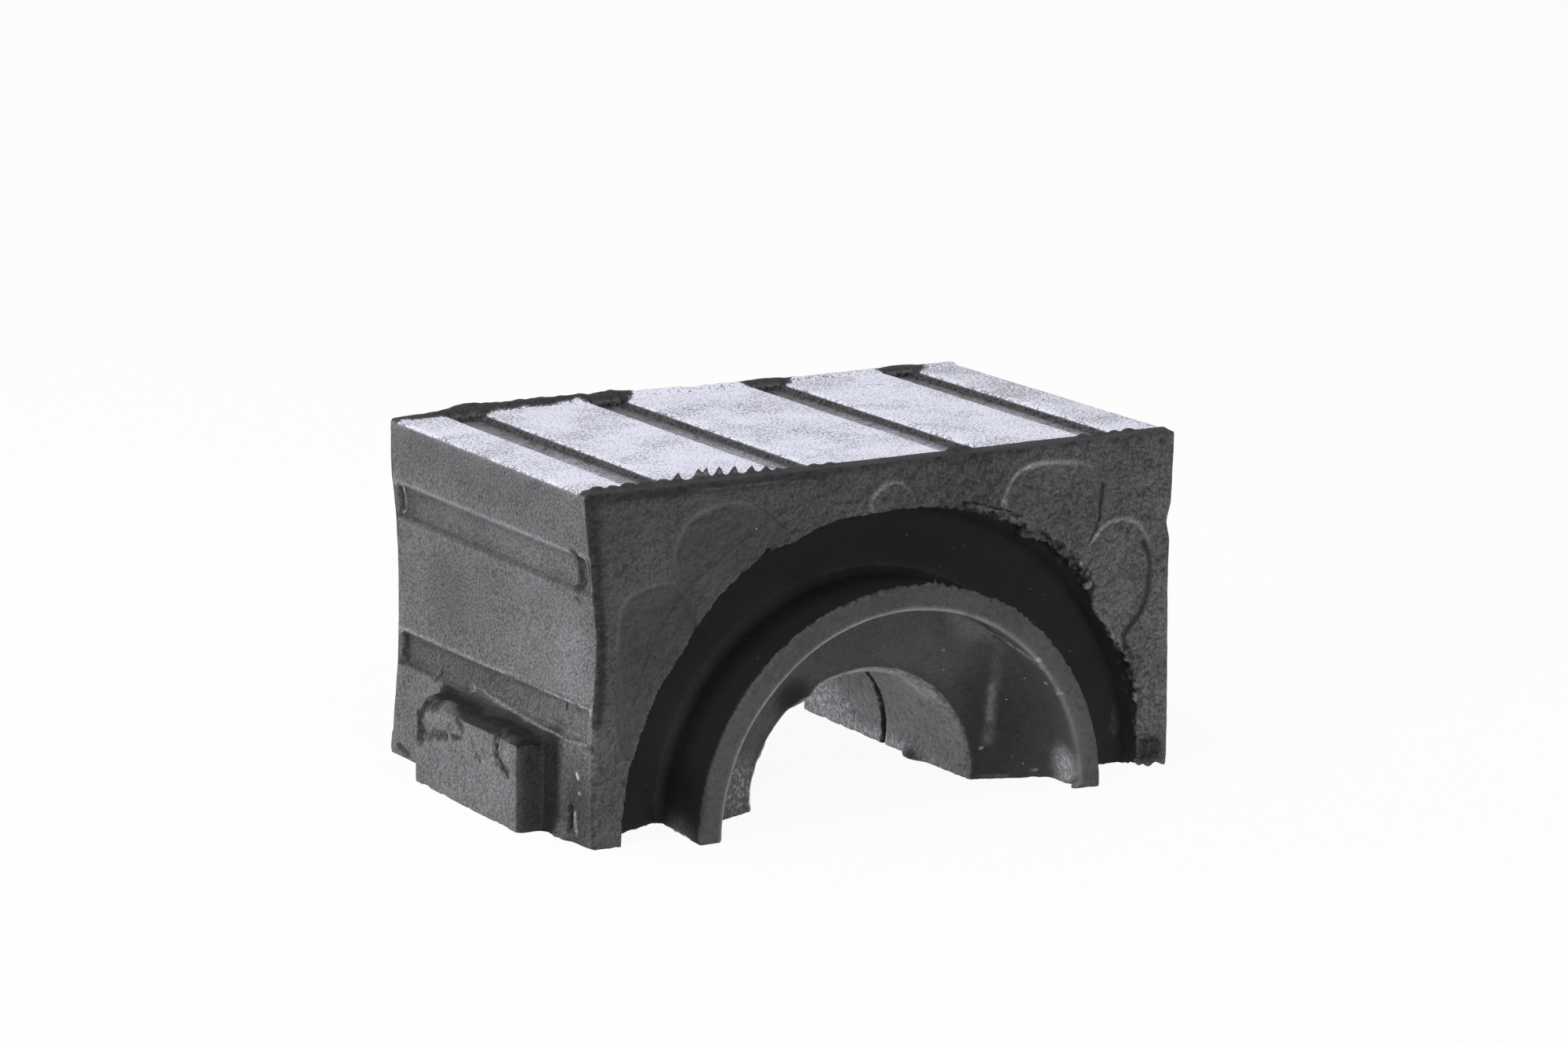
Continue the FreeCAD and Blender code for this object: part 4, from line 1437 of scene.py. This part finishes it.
@dataclass
class Moulding:
    """The whole rubber half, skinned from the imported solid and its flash."""

    block: Block
    finish: RubberFinish
    name: str = "rubber_half"
    skin_size: float = 0.22
    most_triangles: int = 196000
    fineness_pull: float = 1e-5
    weight_steps: int = 20

    def build(self) -> bpy.types.Object:
        """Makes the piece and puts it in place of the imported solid.

        Returns:
            The finished piece.
        """
        mesh = self.modified(self.draft(), "REMESH", mode="VOXEL", voxel_size=self.skin_size * MM)
        skin = Skinned(mesh, self.block)
        Weathering(skin).apply()
        painter = Painter(skin)
        painter.apply()
        fineness = painter.fineness()
        painter.finish()
        skin.store()
        ratio = self.most_triangles / (2 * len(mesh.polygons))
        mesh = self.modified(
            mesh, "DECIMATE", 1.0 - fineness, ratio=ratio, use_collapse_triangulate=True,
            vertex_group="thin", vertex_group_factor=self.fineness_pull)
        mesh.name = self.name
        mesh.shade_smooth()
        mesh.materials.clear()
        mesh.materials.append(self.finish.material())
        piece = bpy.data.objects.new(self.name, mesh)
        bpy.context.scene.collection.objects.link(piece)
        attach(piece, BODY)
        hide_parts(NODE)
        return piece

    def draft(self) -> bpy.types.Mesh:
        """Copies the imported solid, merges its loose triangles and grows the flash on it.

        Returns:
            The draft's mesh.
        """
        mould = bmesh.new()
        mould.from_mesh(frame["nodes"][NODE].data)
        bmesh.ops.remove_doubles(mould, verts=mould.verts, dist=TINY)
        for kind in (SawTeeth, LipCrumbs, CollarTuft):
            kind(self.block).grow(mould)
        mesh = bpy.data.meshes.new(f"{self.name}_draft")
        mould.to_mesh(mesh)
        mould.free()
        return mesh

    def modified(self, mesh: bpy.types.Mesh, kind: str, weights: Array | None = None,
                 **settings: object) -> bpy.types.Mesh:
        """Applies one modifier to a mesh.

        Args:
            mesh: The mesh before it.
            kind: The modifier's type.
            weights: One weight for each point, for the vertex group "thin", or None.
            **settings: What is set on the modifier.

        Returns:
            The new mesh.
        """
        holder = bpy.data.objects.new("holder", mesh)
        bpy.context.scene.collection.objects.link(holder)
        if weights is not None:
            group = holder.vertex_groups.new(name="thin")
            levels = np.round(weights * self.weight_steps).astype(int)
            for level in np.unique(levels):
                points = np.flatnonzero(levels == level).tolist()
                group.add(points, level / self.weight_steps, "REPLACE")
        modifier = holder.modifiers.new(kind, kind)
        for setting, value in settings.items():
            setattr(modifier, setting, value)
        graph = bpy.context.evaluated_depsgraph_get()
        made = bpy.data.meshes.new_from_object(holder.evaluated_get(graph))
        bpy.data.objects.remove(holder)
        return made


@dataclass(frozen=True)
class Lamp:
    """Square soft lamp: its place and its side's length in metres, and its power in watts."""

    name: str
    place: Triple
    size: float
    power: float


LAMPS = (
    Lamp("key", (-0.28, -0.10, 0.72), 0.4, 3.4),
    Lamp("left_fill", (-0.75, -0.15, 0.40), 0.5, 1.6),
    Lamp("front_fill", (0.15, -0.80, 0.55), 0.6, 1.2),
    Lamp("rear_fill", (-0.42, 0.80, 0.12), 0.5, 3.0),
)


@dataclass
class Studio:
    """Pale floor, soft lamps and the camera."""

    camera_place: Triple = (-253.66, -438.38, 134.06)
    camera_turn: Triple = (77.7156, -0.3835, -30.0163)
    lens: float = 122.151
    sensor_width: float = 36.0
    sight: Pair = (0.01, 20.0)
    lamp_aim: Triple = (0.0, 0.0, 0.015)
    floor_size: float = 6.0
    floor_colour: Colour = (0.72, 0.72, 0.72, 1.0)
    floor_glow: float = 0.94
    daylight: float = 0.38
    white: Colour = (1.0, 1.0, 1.0, 1.0)

    def build(self) -> None:
        """Makes the floor, the world, the lamps and the camera."""
        self.floor()
        self.world()
        for lamp in LAMPS:
            self.hang(lamp)
        self.camera()
        bpy.context.scene.view_settings.view_transform = "Standard"

    def seen_directly(self, sketch: ShaderSketch) -> Socket:
        """Tells rays that come from the camera, a gloss or a clear thing from the rest.

        Args:
            sketch: The tree that asks.

        Returns:
            A socket that is 1 for those rays and 0 for the rest.
        """
        path = sketch.node("ShaderNodeLightPath")
        seen = path.outputs["Is Camera Ray"]
        for name in ("Is Glossy Ray", "Is Transmission Ray"):
            seen = sketch.sum("MAXIMUM", seen, path.outputs[name])
        return seen

    def floor(self) -> None:
        """Lays a white floor that keeps a faint shadow."""
        made = bmesh.new()
        bmesh.ops.create_grid(made, x_segments=1, y_segments=1, size=self.floor_size / 2)
        mesh = bpy.data.meshes.new("floor")
        made.to_mesh(mesh)
        made.free()
        floor = bpy.data.objects.new("floor", mesh)
        bpy.context.scene.collection.objects.link(floor)
        material = bpy.data.materials.new("white_floor")
        material.use_nodes = True
        sketch = ShaderSketch(material.node_tree)
        matt = sketch.node("ShaderNodeBsdfDiffuse", {"Color": self.floor_colour})
        glow = sketch.node("ShaderNodeEmission", {"Color": self.white, "Strength": 1.0})
        share = sketch.times(self.seen_directly(sketch), self.floor_glow)
        sketch.show("ShaderNodeOutputMaterial", share, matt, glow)
        mesh.materials.append(material)

    def world(self) -> None:
        """Makes an even light from all round, seen as plain white."""
        world = bpy.data.worlds.new("studio")
        bpy.context.scene.world = world
        world.use_nodes = True
        sketch = ShaderSketch(world.node_tree)
        soft = sketch.node("ShaderNodeBackground", {"Color": self.white, "Strength": self.daylight})
        plain = sketch.node("ShaderNodeBackground", {"Color": self.white, "Strength": 1.0})
        sketch.show("ShaderNodeOutputWorld", self.seen_directly(sketch), soft, plain)

    def hang(self, lamp: Lamp) -> None:
        """Hangs one lamp that points at the moulding.

        Args:
            lamp: The lamp.
        """
        data = bpy.data.lights.new(lamp.name, "AREA")
        data.size = lamp.size
        data.energy = lamp.power
        light = bpy.data.objects.new(lamp.name, data)
        light.location = lamp.place
        aim = Vector(self.lamp_aim) - Vector(lamp.place)
        light.rotation_euler = aim.to_track_quat("-Z", "Y").to_euler()
        bpy.context.scene.collection.objects.link(light)

    def camera(self) -> None:
        """Sets the camera where the photograph was taken from."""
        data = bpy.data.cameras.new("camera")
        data.lens = self.lens
        data.sensor_width = self.sensor_width
        data.sensor_fit = "HORIZONTAL"
        data.clip_start, data.clip_end = self.sight
        camera = bpy.data.objects.new("camera", data)
        camera.location = Vector(self.camera_place) * MM
        camera.rotation_euler = Euler([math.radians(turn) for turn in self.camera_turn])
        bpy.context.scene.collection.objects.link(camera)
        bpy.context.scene.camera = camera


def main() -> None:
    """Builds the moulding and the studio round it."""
    logging.basicConfig(level=logging.INFO, format="%(message)s")
    block = Block.from_frame()
    piece = Moulding(block, RubberFinish()).build()
    log.info("%s: %d triangles", piece.name, len(piece.data.polygons))
    Studio().build()


if __name__ == "__main__":
    main()
